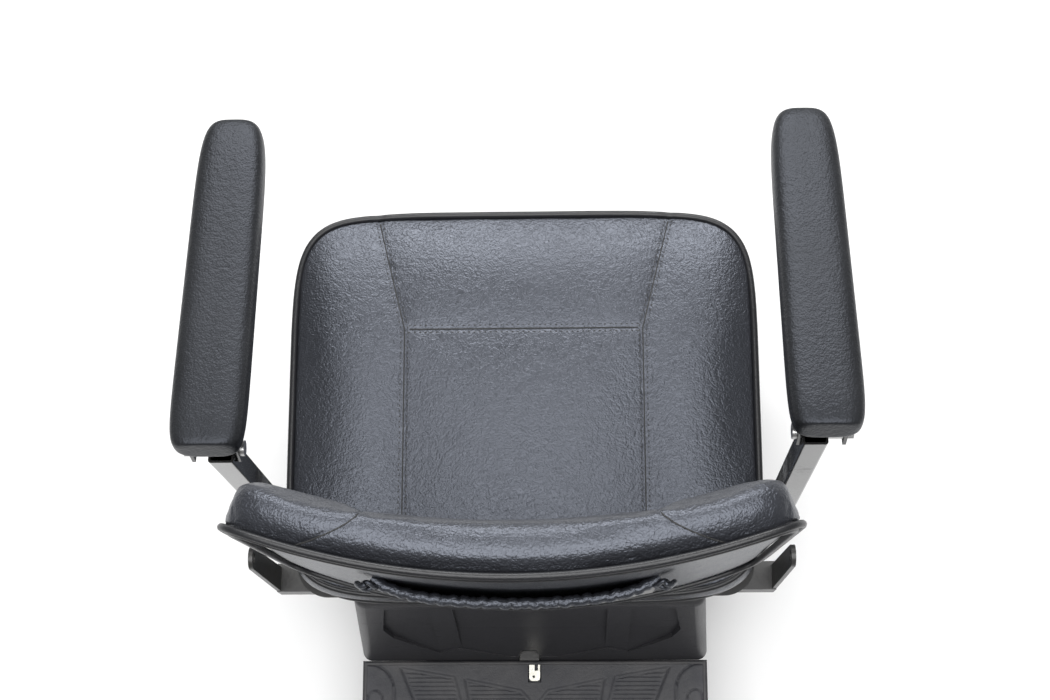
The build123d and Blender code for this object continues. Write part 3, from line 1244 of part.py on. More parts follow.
for name, s in SEAT_SIDES.items():
    frame = arm_frame(name)
    front_view = Plane(origin=frame.origin, x_dir=(1, 0, 0), z_dir=-frame.y_dir)
    with BuildPart() as arm:
        with BuildLine(front_view) as arm_line:
            FilletPolyline((s * ARM_LEG_IN, 0), (s * ARM_X, 0), (s * ARM_X, ARM_HEIGHT),
                           radius=ARM_BEND)
        with BuildSketch(Plane(origin=arm_line.line @ 0, x_dir=frame.y_dir,
                               z_dir=arm_line.line % 0)):
            RectangleRounded(ARM_TUBE, ARM_TUBE, ARM_CORNER)
            RectangleRounded(ARM_TUBE - 2 * ARM_TUBE_WALL, ARM_TUBE - 2 * ARM_TUBE_WALL,
                             ARM_CORNER - 0.5 * ARM_TUBE_WALL, mode=Mode.SUBTRACT)
        sweep()
        bolt_at = frame.from_local_coords(Vector(s * ARM_X - s * 20, BOLT_Y, BOLT_Z))
        with BuildSketch(Plane(origin=bolt_at, x_dir=frame.y_dir, z_dir=(1, 0, 0))):
            Circle(BOLT_R + FIT)
        extrude(amount=s * 40, mode=Mode.SUBTRACT)
    save(arm, f"arm_{name}")

    slope = radians(ARM_LEAN[name] + PAD_SLOPE)
    pad_top = Plane(origin=frame.from_local_coords(Vector(0, PAD_REAR_Y, PAD_REAR_Z)),
                    x_dir=(1, 0, 0), z_dir=(0, sin(slope), cos(slope)))
    with BuildPart() as pad:
        with BuildSketch(pad_top.offset(-PAD_T)):
            with Locations((s * PAD_X, PAD_LENGTH / 2)):
                Rectangle(PAD_WIDTH, PAD_LENGTH)
            fillet(vertices().group_by(Axis.Y)[0], 14)
            fillet(vertices().group_by(Axis.Y)[-1], 27)
        extrude(amount=PAD_T)
        through_pad = Axis(pad_top.origin, pad_top.z_dir)
        fillet(pad.faces().sort_by(through_pad)[-1].edges(), 11)
        fillet(pad.faces().sort_by(through_pad)[0].edges(), 7)
    save(pad, f"arm_pad_{name}")

    with BuildPart() as bracket:
        with BuildSketch(pad_top.offset(-PAD_T - BRACKET_T)):
            with Locations((s * (ARM_X + (BRACKET_IN + BRACKET_OUT) / 2), (WEB_START + WEB_END) / 2)):
                Rectangle(BRACKET_OUT - BRACKET_IN, WEB_END - WEB_START)
        extrude(amount=BRACKET_T)
        bolt_place = frame.from_local_coords(Vector(0, BOLT_Y, BOLT_Z))
        bolt_in_pad = pad_top.to_local_coords(bolt_place)
        for x in (ARM_X + BRACKET_IN, ARM_X + BRACKET_OUT - BRACKET_T):
            start = pad_top.from_local_coords(Vector(min(s * x, s * (x + BRACKET_T)), 0, 0))
            with BuildSketch(Plane(origin=start, x_dir=pad_top.y_dir, z_dir=(1, 0, 0))):
                with BuildLine():
                    Polyline((4, -PAD_T), (60, -PAD_T), (60, -PAD_T - 10),
                             (bolt_in_pad.Y + 9, bolt_in_pad.Z - 9),
                             (bolt_in_pad.Y - 9, bolt_in_pad.Z - 9),
                             (bolt_in_pad.Y - 9, -PAD_T - BRACKET_T), (4, -PAD_T))
                make_face()
                with Locations((bolt_in_pad.Y, bolt_in_pad.Z)):
                    Circle(BOLT_R, mode=Mode.SUBTRACT)
            extrude(amount=BRACKET_T)
    save(bracket, f"pad_bracket_{name}")

    with BuildPart() as bolt:
        bolt_start = frame.from_local_coords(Vector(s * (ARM_X + BRACKET_IN), BOLT_Y, BOLT_Z))
        bolt_plane = Plane(origin=bolt_start, x_dir=frame.y_dir, z_dir=(s, 0, 0))
        with BuildSketch(bolt_plane.offset(-HEAD_T)):
            Circle(BOLT_R + 3)
        extrude(amount=HEAD_T)
        with BuildSketch(bolt_plane):
            Circle(BOLT_R)
        extrude(amount=BRACKET_OUT - BRACKET_IN)
        with BuildSketch(bolt_plane.offset(BRACKET_OUT - BRACKET_IN)):
            RegularPolygon(BOLT_R + 3, 6)
        extrude(amount=HEAD_T + 2)
        with BuildSketch(bolt_plane.offset(ARM_TUBE / 2 + GAP - BRACKET_IN)):
            Circle(BOLT_R + 3)
        extrude(amount=BRACKET_OUT - BRACKET_T - ARM_TUBE / 2 - 2 * GAP)
    save(bolt, f"pad_bolt_{name}")
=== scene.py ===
"""Covers, pads, rubber and finishes of a compact four-wheel scooter, made around its frame."""

import math

import bmesh
import bpy
import numpy as np
from mathutils import Matrix, Vector
from mathutils.bvhtree import BVHTree


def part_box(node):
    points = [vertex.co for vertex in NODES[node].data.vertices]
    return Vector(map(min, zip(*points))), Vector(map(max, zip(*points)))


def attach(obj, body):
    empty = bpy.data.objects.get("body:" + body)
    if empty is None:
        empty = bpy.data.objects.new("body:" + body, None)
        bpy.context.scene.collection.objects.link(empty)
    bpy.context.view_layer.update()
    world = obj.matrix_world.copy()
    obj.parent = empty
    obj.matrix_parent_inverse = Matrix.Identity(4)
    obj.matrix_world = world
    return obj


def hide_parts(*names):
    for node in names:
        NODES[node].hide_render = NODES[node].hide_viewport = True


bl_info = {
    "name": "Scooter Upholstery and Finishes",
    "version": (1, 0, 0),
    "blender": (4, 5, 0),
    "location": "View3D > Sidebar > Scooter",
    "description": "Builds a scooter's cushions, pads, mat, tyres and materials around its frame",
    "category": "Object",
}

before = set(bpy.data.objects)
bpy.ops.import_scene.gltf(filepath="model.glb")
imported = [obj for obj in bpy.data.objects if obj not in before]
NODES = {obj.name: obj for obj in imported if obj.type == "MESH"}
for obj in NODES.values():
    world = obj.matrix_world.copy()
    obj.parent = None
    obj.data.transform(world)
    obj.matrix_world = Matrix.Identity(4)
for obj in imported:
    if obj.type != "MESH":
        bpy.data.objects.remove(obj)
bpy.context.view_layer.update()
POST_LOW, POST_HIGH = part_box("seat_post")
POST = np.array([0.0, (POST_LOW.y + POST_HIGH.y) / 2, 0.0])
MM = 0.001
TURN = 2 * math.pi


def place(points):
    """Millimetres from the seat post's axis, turned into metres in the frame."""
    return np.asarray(points, float) * MM + POST


def unplace(points):
    """The reverse of place: metres in the frame, as millimetres from the post's axis."""
    return (np.asarray(points, float) - POST) / MM


# ---- meshes ---------------------------------------------------------------------------------


def link(name, mesh):
    """A new object holding the mesh, in the scene."""
    made = bpy.data.objects.new(name, mesh)
    bpy.context.scene.collection.objects.link(made)
    return made


def dress(piece, finish, body):
    """Gives a piece its material and the body it moves with."""
    piece.data.materials.clear()
    piece.data.materials.append(finish)
    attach(piece, body)
    return piece


def smooth(piece, angle=40.0):
    """Smooth shading, with edges sharper than the angle kept crisp."""
    piece.data.shade_smooth()
    piece.data.set_sharp_from_angle(angle=math.radians(angle))


def face_out(mesh):
    """Merges doubles and points every face outwards."""
    work = bmesh.new()
    work.from_mesh(mesh)
    bmesh.ops.remove_doubles(work, verts=work.verts, dist=1e-6)
    bmesh.ops.recalc_face_normals(work, faces=work.faces)
    work.to_mesh(mesh)
    work.free()


def grid_faces(rows, cols, wrap_rows=False, wrap_cols=False):
    """Quads that join the points of a rows by cols grid, closed round where asked."""
    index = np.arange(rows * cols).reshape(rows, cols)
    if wrap_rows:
        index = np.vstack([index, index[:1]])
    if wrap_cols:
        index = np.hstack([index, index[:, :1]])
    corners = (index[:-1, :-1], index[:-1, 1:], index[1:, 1:], index[1:, :-1])
    return np.stack(corners, axis=-1).reshape(-1, 4)


def skin(name, grid, wrap_rows=False, wrap_cols=False, cap=False):
    """A surface over a grid of points in millimetres; cap closes the first and last ring with
    fans."""
    rows, cols = grid.shape[:2]
    points = grid.reshape(-1, 3)
    faces = grid_faces(rows, cols, wrap_rows, wrap_cols).tolist()
    if cap:
        for ring_start, hub in ((0, len(points)), ((rows - 1) * cols, len(points) + 1)):
            ring = ring_start + np.arange(cols)
            hubs = np.full(cols, hub)
            faces += np.stack([hubs, ring, np.roll(ring, -1)], axis=-1).tolist()
        points = np.vstack([points, grid[0].mean(0), grid[-1].mean(0)])
    mesh = bpy.data.meshes.new(name)
    mesh.from_pydata(place(points).tolist(), [], faces)
    face_out(mesh)
    piece = link(name, mesh)
    smooth(piece)
    return piece


def copies(name, pattern, faces, spots, frames):
    """One mesh of a small pattern repeated: each copy is the pattern turned by its frame and put
    at its spot."""
    pattern, spots, frames = np.asarray(pattern), np.asarray(spots), np.asarray(frames)
    points = np.einsum("pk,nkj->npj", pattern, frames) + spots[:, None, :]
    faces = np.asarray(faces)
    steps = (np.arange(len(spots)) * len(pattern))[:, None, None]
    mesh = bpy.data.meshes.new(name)
    mesh.from_pydata(place(points.reshape(-1, 3)).tolist(), [],
                     (faces[None] + steps).reshape(-1, faces.shape[1]).tolist())
    face_out(mesh)
    piece = link(name, mesh)
    smooth(piece, 60)
    return piece


def along(path, closed):
    """Unit tangents of a path: the difference of each point's neighbours."""
    if closed:
        step = np.roll(path, -1, 0) - np.roll(path, 1, 0)
    else:
        step = np.gradient(path, axis=0)
    return step / np.linalg.norm(step, axis=1, keepdims=True)


def tube(name, path, radius, closed=True, sides=10, up=(0, 0, 1)):
    """A round cord: circles of the radius carried along the path, square to it."""
    path = np.asarray(path, float)
    ahead = along(path, closed)
    across = np.cross(ahead, np.asarray(up, float))
    across /= np.linalg.norm(across, axis=1, keepdims=True)
    over = np.cross(across, ahead)
    turn = np.linspace(0, TURN, sides, endpoint=False)
    radius = np.broadcast_to(np.asarray(radius, float), (len(path),))[:, None, None]
    rings = path[:, None] + radius * (np.cos(turn)[None, :, None] * across[:, None]
                                      + np.sin(turn)[None, :, None] * over[:, None])
    return skin(name, rings, wrap_rows=closed, wrap_cols=True, cap=not closed)


def ring_xy(half_x, half_y, power, turn):
    """Points of the outline |x/a|^n + |y/b|^n = 1 at the given angles."""
    c, s = np.cos(turn), np.sin(turn)
    reach = (np.abs(c / half_x) ** power + np.abs(s / half_y) ** power) ** (-1 / power)
    return reach * c, reach * s


def even(path, count, closed=True):
    """The same path with its points evenly spaced along its length."""
    path = np.vstack([path, path[:1]]) if closed else np.asarray(path)
    run = np.concatenate([[0], np.cumsum(np.linalg.norm(np.diff(path, axis=0), axis=1))])
    at = np.linspace(0, run[-1], count, endpoint=not closed)
    return np.stack([np.interp(at, run, path[:, k]) for k in range(3)], axis=1)


# ---- cloth ----------------------------------------------------------------------------------

VOXEL = 0.005
CLOTH_FRAMES = 20
PRESSURE = 4.0


def read_points(mesh, what="co"):
    """The mesh's points, or its normals, as rows of three."""
    values = np.empty(len(mesh.vertices) * 3)
    mesh.vertices.foreach_get(what, values)
    return values.reshape(-1, 3)


def write_points(mesh, points):
    """Moves the mesh's points to new places."""
    mesh.vertices.foreach_set("co", np.ascontiguousarray(points, float).ravel())
    mesh.update()


def bake(piece):
    """Applies the piece's modifiers to its mesh."""
    graph = bpy.context.evaluated_depsgraph_get()
    mesh = bpy.data.meshes.new_from_object(piece.evaluated_get(graph))
    piece.modifiers.clear()
    piece.data = mesh


def puff(piece, held, cap):
    """Remeshes a sewn form and blows it up with Cloth pressure between its held seams.

    held gives each point's hold, 0 to 1, from points in millimetres. A point moves by
    cap * tanh(move / cap), so no panel swells past the cap."""
    remesh = piece.modifiers.new("Remesh", "REMESH")
    remesh.mode = "VOXEL"
    remesh.voxel_size = VOXEL
    bake(piece)
    rest = read_points(piece.data)
    hold = np.round(np.clip(held(unplace(rest)), 0, 1) * 10).astype(int)
    group = piece.vertex_groups.new(name="hold")
    for level in range(1, 11):
        group.add(np.flatnonzero(hold == level).tolist(), level / 10, "REPLACE")
    cloth = piece.modifiers.new("Cloth", "CLOTH")
    cloth.settings.vertex_group_mass = "hold"
    cloth.settings.use_pressure = True
    cloth.settings.uniform_pressure_force = PRESSURE
    cloth.settings.effector_weights.gravity = 0
    cloth.settings.tension_stiffness = 8
    cloth.settings.compression_stiffness = 8
    cloth.settings.bending_stiffness = 0.4
    cloth.point_cache.frame_start = 1
    cloth.point_cache.frame_end = CLOTH_FRAMES
    scene = bpy.context.scene
    for number in range(1, CLOTH_FRAMES + 1):
        scene.frame_set(number)
    bake(piece)
    move = read_points(piece.data) - rest
    length = np.linalg.norm(move, axis=1, keepdims=True) + 1e-12
    write_points(piece.data, rest + move / length * cap * MM * np.tanh(length / (cap * MM)))
    scene.frame_set(1)
    piece.vertex_groups.clear()
    fine = piece.modifiers.new("Subdivision", "SUBSURF")
    fine.levels = fine.render_levels = 1
    bake(piece)
    piece.data.shade_smooth()


def press_seams(piece, gap, run, depth, width):
    """Draws the cover in along its seams and puckers it beside them.

    The pull is depth * exp(-(gap / width)^2), and the puckers are low waves along the seam
    that fade over a centimetre."""
    mesh = piece.data
    points, normals = read_points(mesh), read_points(mesh, "normal")
    local = unplace(points)
    distance = gap(local)
    wave = np.sin(run(local) * TURN / 13.0) + 0.6 * np.sin(run(local) * TURN / 7.3 + 1.0)
    pull = depth * np.exp(-(distance / width) ** 2) + 0.22 * wave * np.exp(-(distance / 9.0) ** 2)
    write_points(mesh, points - normals * pull[:, None] * MM)


def crease(piece, amount, seed):
    """Soft folds in a stretched cover: a few long waves of seeded direction, summed."""
    random = np.random.default_rng(seed)
    mesh = piece.data
    points, normals = read_points(mesh), read_points(mesh, "normal")
    lift = np.zeros(len(points))
    for _ in range(9):
        way = random.normal(size=3)
        way /= np.linalg.norm(way)
        length = random.uniform(0.035, 0.13)
        lift += np.sin((points @ way) / length * TURN + random.uniform(0, TURN)) * length / 0.13
    write_points(mesh, points + normals * (lift * amount * MM)[:, None])


# ---- materials ------------------------------------------------------------------------------


def add_node(tree, kind, links=None, **settings):
    """A node with its settings, and each named input either linked or set."""
    made = tree.nodes.new(kind)
    for key, value in settings.items():
        setattr(made, key, value)
    for socket, value in (links or {}).items():
        if isinstance(value, bpy.types.NodeSocket):
            tree.links.new(value, made.inputs[socket])
        else:
            made.inputs[socket].default_value = value
    return made


def maths(tree, operation, a, b=0.0, c=0.0):
    """The result of a sum on up to three values."""
    return add_node(tree, "ShaderNodeMath", {0: a, 1: b, 2: c}, operation=operation).outputs[0]


def spread(tree, value, low, high, to_low=0.0, to_high=1.0):
    """The value mapped from one range to another and clamped."""
    made = add_node(tree, "ShaderNodeMapRange", {"Value": value, "From Min": low, "From Max": high,
                                                 "To Min": to_low, "To Max": to_high})
    return made.outputs["Result"]


def noise(tree, where, scale, detail=3.0, rough=0.5):
    """A cloudy value, 0 to 1, at each place."""
    made = add_node(tree, "ShaderNodeTexNoise",
                    {"Vector": where, "Scale": scale, "Detail": detail, "Roughness": rough})
    return made.outputs["Fac"]


def cells(tree, where, scale, feature):
    """The distance to the nearest of many scattered spots."""
    made = add_node(tree, "ShaderNodeTexVoronoi", {"Vector": where, "Scale": scale},
                    feature=feature)
    return made.outputs["Distance"]


def new_group(name, inputs, outputs):
    """An empty node group with named sockets, its input node and its output node."""
    tree = bpy.data.node_groups.new(name, "ShaderNodeTree")
    for label, kind, default in inputs:
        socket = tree.interface.new_socket(label, in_out="INPUT", socket_type="NodeSocket" + kind)
        if default is not None:
            socket.default_value = default
    for label, kind in outputs:
        tree.interface.new_socket(label, in_out="OUTPUT", socket_type="NodeSocket" + kind)
    return tree, tree.nodes.new("NodeGroupInput"), tree.nodes.new("NodeGroupOutput")


def hide_grain_group():
    """Leather-cloth: rounded pebbles with pores between them and long soft wrinkles."""
    tree, given, out = new_group(
        "Hide grain", [("Vector", "Vector", None), ("Pebble", "Float", 700.0),
                       ("Wrinkle", "Float", 28.0)], [("Height", "Float"), ("Pores", "Float")])
    warp = add_node(tree, "ShaderNodeTexNoise", {"Vector": given.outputs["Vector"], "Scale": 60.0})
    bent = add_node(tree, "ShaderNodeVectorMath",
                    {0: warp.outputs["Color"], "Scale": 0.004}, operation="SCALE")
    where = add_node(tree, "ShaderNodeVectorMath",
                     {0: given.outputs["Vector"], 1: bent.outputs[0]}, operation="ADD").outputs[0]
    pebble = cells(tree, where, given.outputs["Pebble"], "SMOOTH_F1")
    pores = spread(tree, pebble, 0.35, 0.75)
    ridge = noise(tree, where, given.outputs["Wrinkle"], 5.0, 0.55)
    folds = maths(tree, "ABSOLUTE", maths(tree, "SUBTRACT", ridge, 0.5))
    height = maths(tree, "MULTIPLY_ADD", spread(tree, folds, 0.0, 0.12), 0.5,
                   maths(tree, "MULTIPLY", pores, -0.5))
    tree.links.new(height, out.inputs["Height"])
    tree.links.new(pores, out.inputs["Pores"])
    return tree


def pebble_group():
    """Moulded grain: small even bumps of two sizes."""
    tree, given, out = new_group(
        "Moulded grain", [("Vector", "Vector", None), ("Scale", "Float", 900.0)],
        [("Height", "Float")])
    small = cells(tree, given.outputs["Vector"], given.outputs["Scale"], "SMOOTH_F1")
    large = noise(tree, given.outputs["Vector"], maths(tree, "MULTIPLY",
                                                       given.outputs["Scale"], 0.35), 2.0)
    tree.links.new(maths(tree, "ADD", maths(tree, "MULTIPLY", small, -0.6), large),
                   out.inputs["Height"])
    return tree


def drift_group():
    """Slow changes of tone over a surface, between two colours."""
    tree, given, out = new_group(
        "Tone drift", [("Vector", "Vector", None), ("Scale", "Float", 9.0),
                       ("Dark", "Color", (0, 0, 0, 1)), ("Light", "Color", (0.1, 0.1, 0.1, 1))],
        [("Color", "Color"), ("Tone", "Float")])
    tone = spread(tree, noise(tree, given.outputs["Vector"], given.outputs["Scale"], 4.0, 0.6),
                  0.3, 0.7)
    mix = add_node(tree, "ShaderNodeMix", {"Factor": tone, 6: given.outputs["Dark"],
                                           7: given.outputs["Light"]}, data_type="RGBA")
    tree.links.new(mix.outputs[2], out.inputs["Color"])
    tree.links.new(tone, out.inputs["Tone"])
    return tree


def wear_group():
    """Fine handling marks: thin streaks and small scuffs, as a mask."""
    tree, given, out = new_group(
        "Handling wear", [("Vector", "Vector", None), ("Amount", "Float", 0.5)],
        [("Mask", "Float")])
    long = add_node(tree, "ShaderNodeMapping", {"Vector": given.outputs["Vector"],
                                                "Scale": (30.0, 420.0, 60.0)})
    streak = spread(tree, noise(tree, long.outputs[0], 1.0, 2.0), 0.66, 0.76)
    scuff = spread(tree, noise(tree, given.outputs["Vector"], 70.0, 5.0, 0.7), 0.62, 0.74)
    both = maths(tree, "MAXIMUM", streak, scuff)
    tree.links.new(maths(tree, "MULTIPLY", both, given.outputs["Amount"]), out.inputs["Mask"])
    return tree


def dust_group():
    """Pale dust that settles on faces that look up, in soft patches."""
    tree, given, out = new_group(
        "Settled dust", [("Vector", "Vector", None), ("Amount", "Float", 0.3)],
        [("Mask", "Float")])
    facing = add_node(tree, "ShaderNodeSeparateXYZ",
                      {0: add_node(tree, "ShaderNodeNewGeometry").outputs["Normal"]})
    up = spread(tree, facing.outputs["Z"], 0.3, 0.95)
    patch = spread(tree, noise(tree, given.outputs["Vector"], 14.0, 6.0, 0.65), 0.35, 0.75)
    tree.links.new(maths(tree, "MULTIPLY", maths(tree, "MULTIPLY", up, patch),
                         given.outputs["Amount"]), out.inputs["Mask"])
    return tree


GROUPS = {}


def use(tree, kind, where, **values):
    """Places a shared group in a material with its own values."""
    made = tree.nodes.new("ShaderNodeGroup")
    made.node_tree = GROUPS[kind]
    tree.links.new(where, made.inputs["Vector"])
    for key, value in values.items():
        made.inputs[key.capitalize()].default_value = value
    return made


def finish(name, dark, light, rough, grain="pebble", grain_scale=900.0, bump=0.0002, wrinkle=28.0,
           drift=9.0, wear=0.3, wear_rough=0.2, dust=0.05, **plain):
    """A surface finish: drifting tone, grain bump, handling wear and dust, with plain constants
    such as Metallic set straight on the shader."""
    made = bpy.data.materials.new(name)
    made.use_nodes = True
    tree = made.node_tree
    shader = tree.nodes["Principled BSDF"]
    where = add_node(tree, "ShaderNodeTexCoord").outputs["Object"]
    tone = use(tree, "drift", where, scale=drift, dark=(*dark, 1), light=(*light, 1))
    marks = use(tree, "wear", where, amount=wear)
    settled = use(tree, "dust", where, amount=dust)
    dusty = add_node(tree, "ShaderNodeMix", {"Factor": settled.outputs["Mask"],
                                             6: tone.outputs["Color"],
                                             7: (0.42, 0.40, 0.37, 1)}, data_type="RGBA")
    tree.links.new(dusty.outputs[2], shader.inputs["Base Color"])
    uneven = maths(tree, "MULTIPLY_ADD", tone.outputs["Tone"], 0.08, rough - 0.04)
    worn = maths(tree, "MULTIPLY_ADD", marks.outputs["Mask"], wear_rough, uneven)
    if grain == "hide":
        relief = use(tree, "hide", where, pebble=grain_scale, wrinkle=wrinkle)
        worn = maths(tree, "MULTIPLY_ADD", relief.outputs["Pores"], 0.1, worn)
    else:
        relief = use(tree, "pebble", where, scale=grain_scale)
    tree.links.new(worn, shader.inputs["Roughness"])
    raised = add_node(tree, "ShaderNodeBump", {"Height": relief.outputs["Height"],
                                               "Distance": bump, "Strength": 0.9})
    tree.links.new(raised.outputs["Normal"], shader.inputs["Normal"])
    for socket, value in plain.items():
        shader.inputs[socket.replace("_", " ")].default_value = value
    return made


def grey(level, blue=1.0):
    """A neutral tone, with a little more or less blue."""
    return (level, level * (1 + (blue - 1) / 3), level * blue)


def shade(tone, share):
    """A colour made darker or lighter by a share."""
    return tuple(share * part for part in tone)


FINISHES = {}
BLUE_LIGHT_TINT = (0.80, 0.86, 1.0, 1.0)  # painted light: a blue tint on these plastics' and vinyls' reflections, standing in for a bluish studio light


def make_finishes(look):
    """Builds the shared groups and one finish for each slot of the record."""
    GROUPS.update(hide=hide_grain_group(), pebble=pebble_group(), drift=drift_group(),
                  wear=wear_group(), dust=dust_group())
    vinyl = tuple(look.vinyl)
    body = tuple(look.body)
    rubber = tuple(look.rubber)
    FINISHES.update(
        # The blue reflection tint on this vinyl is painted light, standing in for a bluish lamp.
        vinyl=finish("Black upholstery vinyl", shade(vinyl, 0.8), shade(vinyl, 1.25), 0.34, "hide",
            650.0, 0.00045, wrinkle=105.0, drift=7.0, wear=0.25, wear_rough=0.1, dust=0.0,
            Specular_Tint=BLUE_LIGHT_TINT, Specular_IOR_Level=1.0),
        piping=finish("Vinyl piping", shade(vinyl, 0.6), shade(vinyl, 0.9), 0.36, "hide", 900.0,
            0.0002, dust=0.0),
        # This finish also goes on the seam tubes, where it is painted shade in the seam grooves.
        thread=finish("Stitching thread", grey(0.012), grey(0.03), 0.7, grain_scale=3000.0,
            dust=0.0),
        thread_pale=finish("Pale stitching thread", grey(0.16), grey(0.26), 0.7,
            grain_scale=3000.0, dust=0.0),
        # The blue reflection tint on this foam skin is painted light, standing in for a bluish
        # lamp.
        pad_foam=finish("Armrest foam skin", grey(0.009, 1.1), grey(0.016, 1.1), 0.42,
            grain_scale=620.0, bump=0.0005, wear=0.3, dust=0.0, Specular_Tint=BLUE_LIGHT_TINT,
            Specular_IOR_Level=0.4),
        pocket_cloth=finish("Pocket cloth", grey(0.010), grey(0.022), 0.78, grain_scale=1500.0,
            bump=0.0003, dust=0.04, Sheen_Weight=0.3),
        arm_paint=finish("Gloss black armrest paint", grey(0.006), grey(0.012), 0.20,
            grain_scale=260.0, bump=0.00006, wear=0.5, Coat_Weight=0.4),
        frame_paint=finish("Black frame paint", grey(0.010), grey(0.020), 0.36, grain_scale=420.0,
            bump=0.00012, wear=0.6, dust=0.1),
        body_plastic=finish("Grained body plastic", shade(body, 0.85), shade(body, 1.15), 0.46,
            grain_scale=1100.0, bump=0.00022, wear=0.5, dust=0.06),
        floor_plastic=finish("Floor plastic", shade(body, 0.8), shade(body, 1.1), 0.5,
            grain_scale=900.0, bump=0.00025, wear=0.6, dust=0.12),
        mat_rubber=finish("Ribbed mat rubber", shade(rubber, 0.85), shade(rubber, 1.15), 0.55,
            grain_scale=800.0, bump=0.0003, wear=0.6, dust=0.12),
        tyre=finish("Tyre rubber", grey(0.014), grey(0.03), 0.72, grain_scale=700.0, bump=0.0004,
            wear=0.4, dust=0.2),
        rim_plastic=finish("Rim plastic", grey(0.10, 1.1), grey(0.14, 1.1), 0.42,
            grain_scale=900.0, wear=0.5, dust=0.12),
        steel=finish("Turned steel", grey(0.42), grey(0.55), 0.32, grain_scale=1600.0,
            bump=0.00008, wear=0.8, Metallic=1.0),
        zinc=finish("Zinc plate", (0.50, 0.49, 0.44), (0.68, 0.67, 0.62), 0.38, grain_scale=240.0,
            bump=0.0001, wear=0.9, drift=60.0, Metallic=1.0),
        aluminium=finish("Cast aluminium", grey(0.45, 1.05), grey(0.56, 1.05), 0.42,
            grain_scale=900.0, bump=0.0002, wear=0.6, Metallic=1.0),
        lamp_red=finish("Red lamp lens", (0.36, 0.01, 0.01), (0.5, 0.02, 0.015), 0.16,
            grain_scale=300.0, bump=0.0004, Coat_Weight=0.6),
        lamp_clear=finish("Clear lamp lens", grey(0.55, 1.1), grey(0.7, 1.1), 0.12,
            grain_scale=300.0, bump=0.0004, Coat_Weight=0.8),
        battery_case=finish("Battery case plastic", grey(0.02), grey(0.035), 0.5,
            grain_scale=700.0, bump=0.0003, wear=0.6, dust=0.1),
        knob_plastic=finish("Knob plastic", grey(0.012), grey(0.02), 0.4, grain_scale=900.0,
            wear=0.5),
        control_plastic=finish("Console plastic", grey(0.03, 1.1), grey(0.045, 1.1), 0.48,
            grain_scale=1200.0, bump=0.0002, wear=0.4, dust=0.06),
        control_red=finish("Red control plastic", (0.30, 0.012, 0.010), (0.42, 0.02, 0.015), 0.35,
            grain_scale=1200.0),
        control_yellow=finish("Yellow control plastic", (0.62, 0.36, 0.02), (0.75, 0.46, 0.03),
            0.38, grain_scale=1200.0),
        grip_rubber=finish("Grip rubber", grey(0.012), grey(0.022), 0.66, grain_scale=1400.0,
            bump=0.0003, wear=0.3, dust=0.04),
        board=finish("Painted board", grey(0.012), grey(0.02), 0.6, grain_scale=300.0, bump=0.0003,
            dust=0.05),
        marking=finish("White marking", grey(0.6), grey(0.7), 0.5, grain_scale=1500.0),
    )


def finish_nodes():
    """Gives every frame node the finish of its own slot, or frame paint if it has none."""
    for piece in NODES.values():
        for slot in piece.material_slots:
            key = slot.material.name.split(".")[0] if slot.material else ""
            slot.material = FINISHES.get(key) or FINISHES["frame_paint"]


# ---- seat -----------------------------------------------------------------------------------

SEAT_HALF = 227.0  # out to the piping
SEAT_DEPTH = 192.0
SEAT_MID = -1.0
SEAT_TOP = 597.0
SEAT_BASE = 538.0
CORNER_POWER = 6.6
SEAM_X = 118.0
SEAM_Y = 68.0
SEAM_SPLAY = 0.245


def seat_top(x, y):
    """Height of the seat's top: a plateau that rolls down to the front, sides and back, with
    its panels crowned between the seams."""
    front = np.clip((y - 66) / 126, 0, 1)
    back = np.clip((-150 - y) / 43, 0, 1)
    side = np.clip((np.abs(x) - 183) / 44, 0, 1)
    crown = 2.0 * (1 - np.exp(-(seat_seam_gap(x, y) / 30) ** 2))
    sunk = 1.6 * np.exp(-(seat_seam_gap(x, y) / 5) ** 2)
    fall = 10 * front + 14 * front ** 3.2
    return SEAT_TOP - 3 + crown - sunk - fall - 9 * back ** 2 - 11 * side ** 2.4


def seat_seam_gap(x, y):
    """Distance to the nearest seam: one along each side, splayed at the front, and one across."""
    line = SEAM_X + SEAM_SPLAY * np.clip(y - SEAM_Y, 0, None)
    side = np.abs(np.abs(x) - line)
    across = np.hypot(y - SEAM_Y, np.clip(np.abs(x) - SEAM_X, 0, None))
    return np.minimum(side, across)


def seat_run(points):
    """How far along its seam a point is: forward beside the side seams, sideways by the cross
    one."""
    nearer = np.abs(points[:, 1] - SEAM_Y) < np.abs(np.abs(points[:, 0]) - SEAM_X)
    return np.where(nearer, points[:, 0], points[:, 1])


def seat_gap(points):
    """Distance to a seam for points on the top, and far away for those below it."""
    gap = seat_seam_gap(points[:, 0], points[:, 1])
    return np.where(points[:, 2] > 566, gap, 1e3)


def seat_ring(grow, level, count=360):
    """A rounded outline of the seat, grown by so many millimetres, at a height or on the top."""
    turn = np.linspace(0, TURN, count, endpoint=False)
    x, y = ring_xy(SEAT_HALF + grow, SEAT_DEPTH + grow, CORNER_POWER, turn)
    y = y + SEAT_MID
    z = seat_top(x, y) if level is None else np.full_like(x, level)
    return np.stack([x, y, z], axis=1)


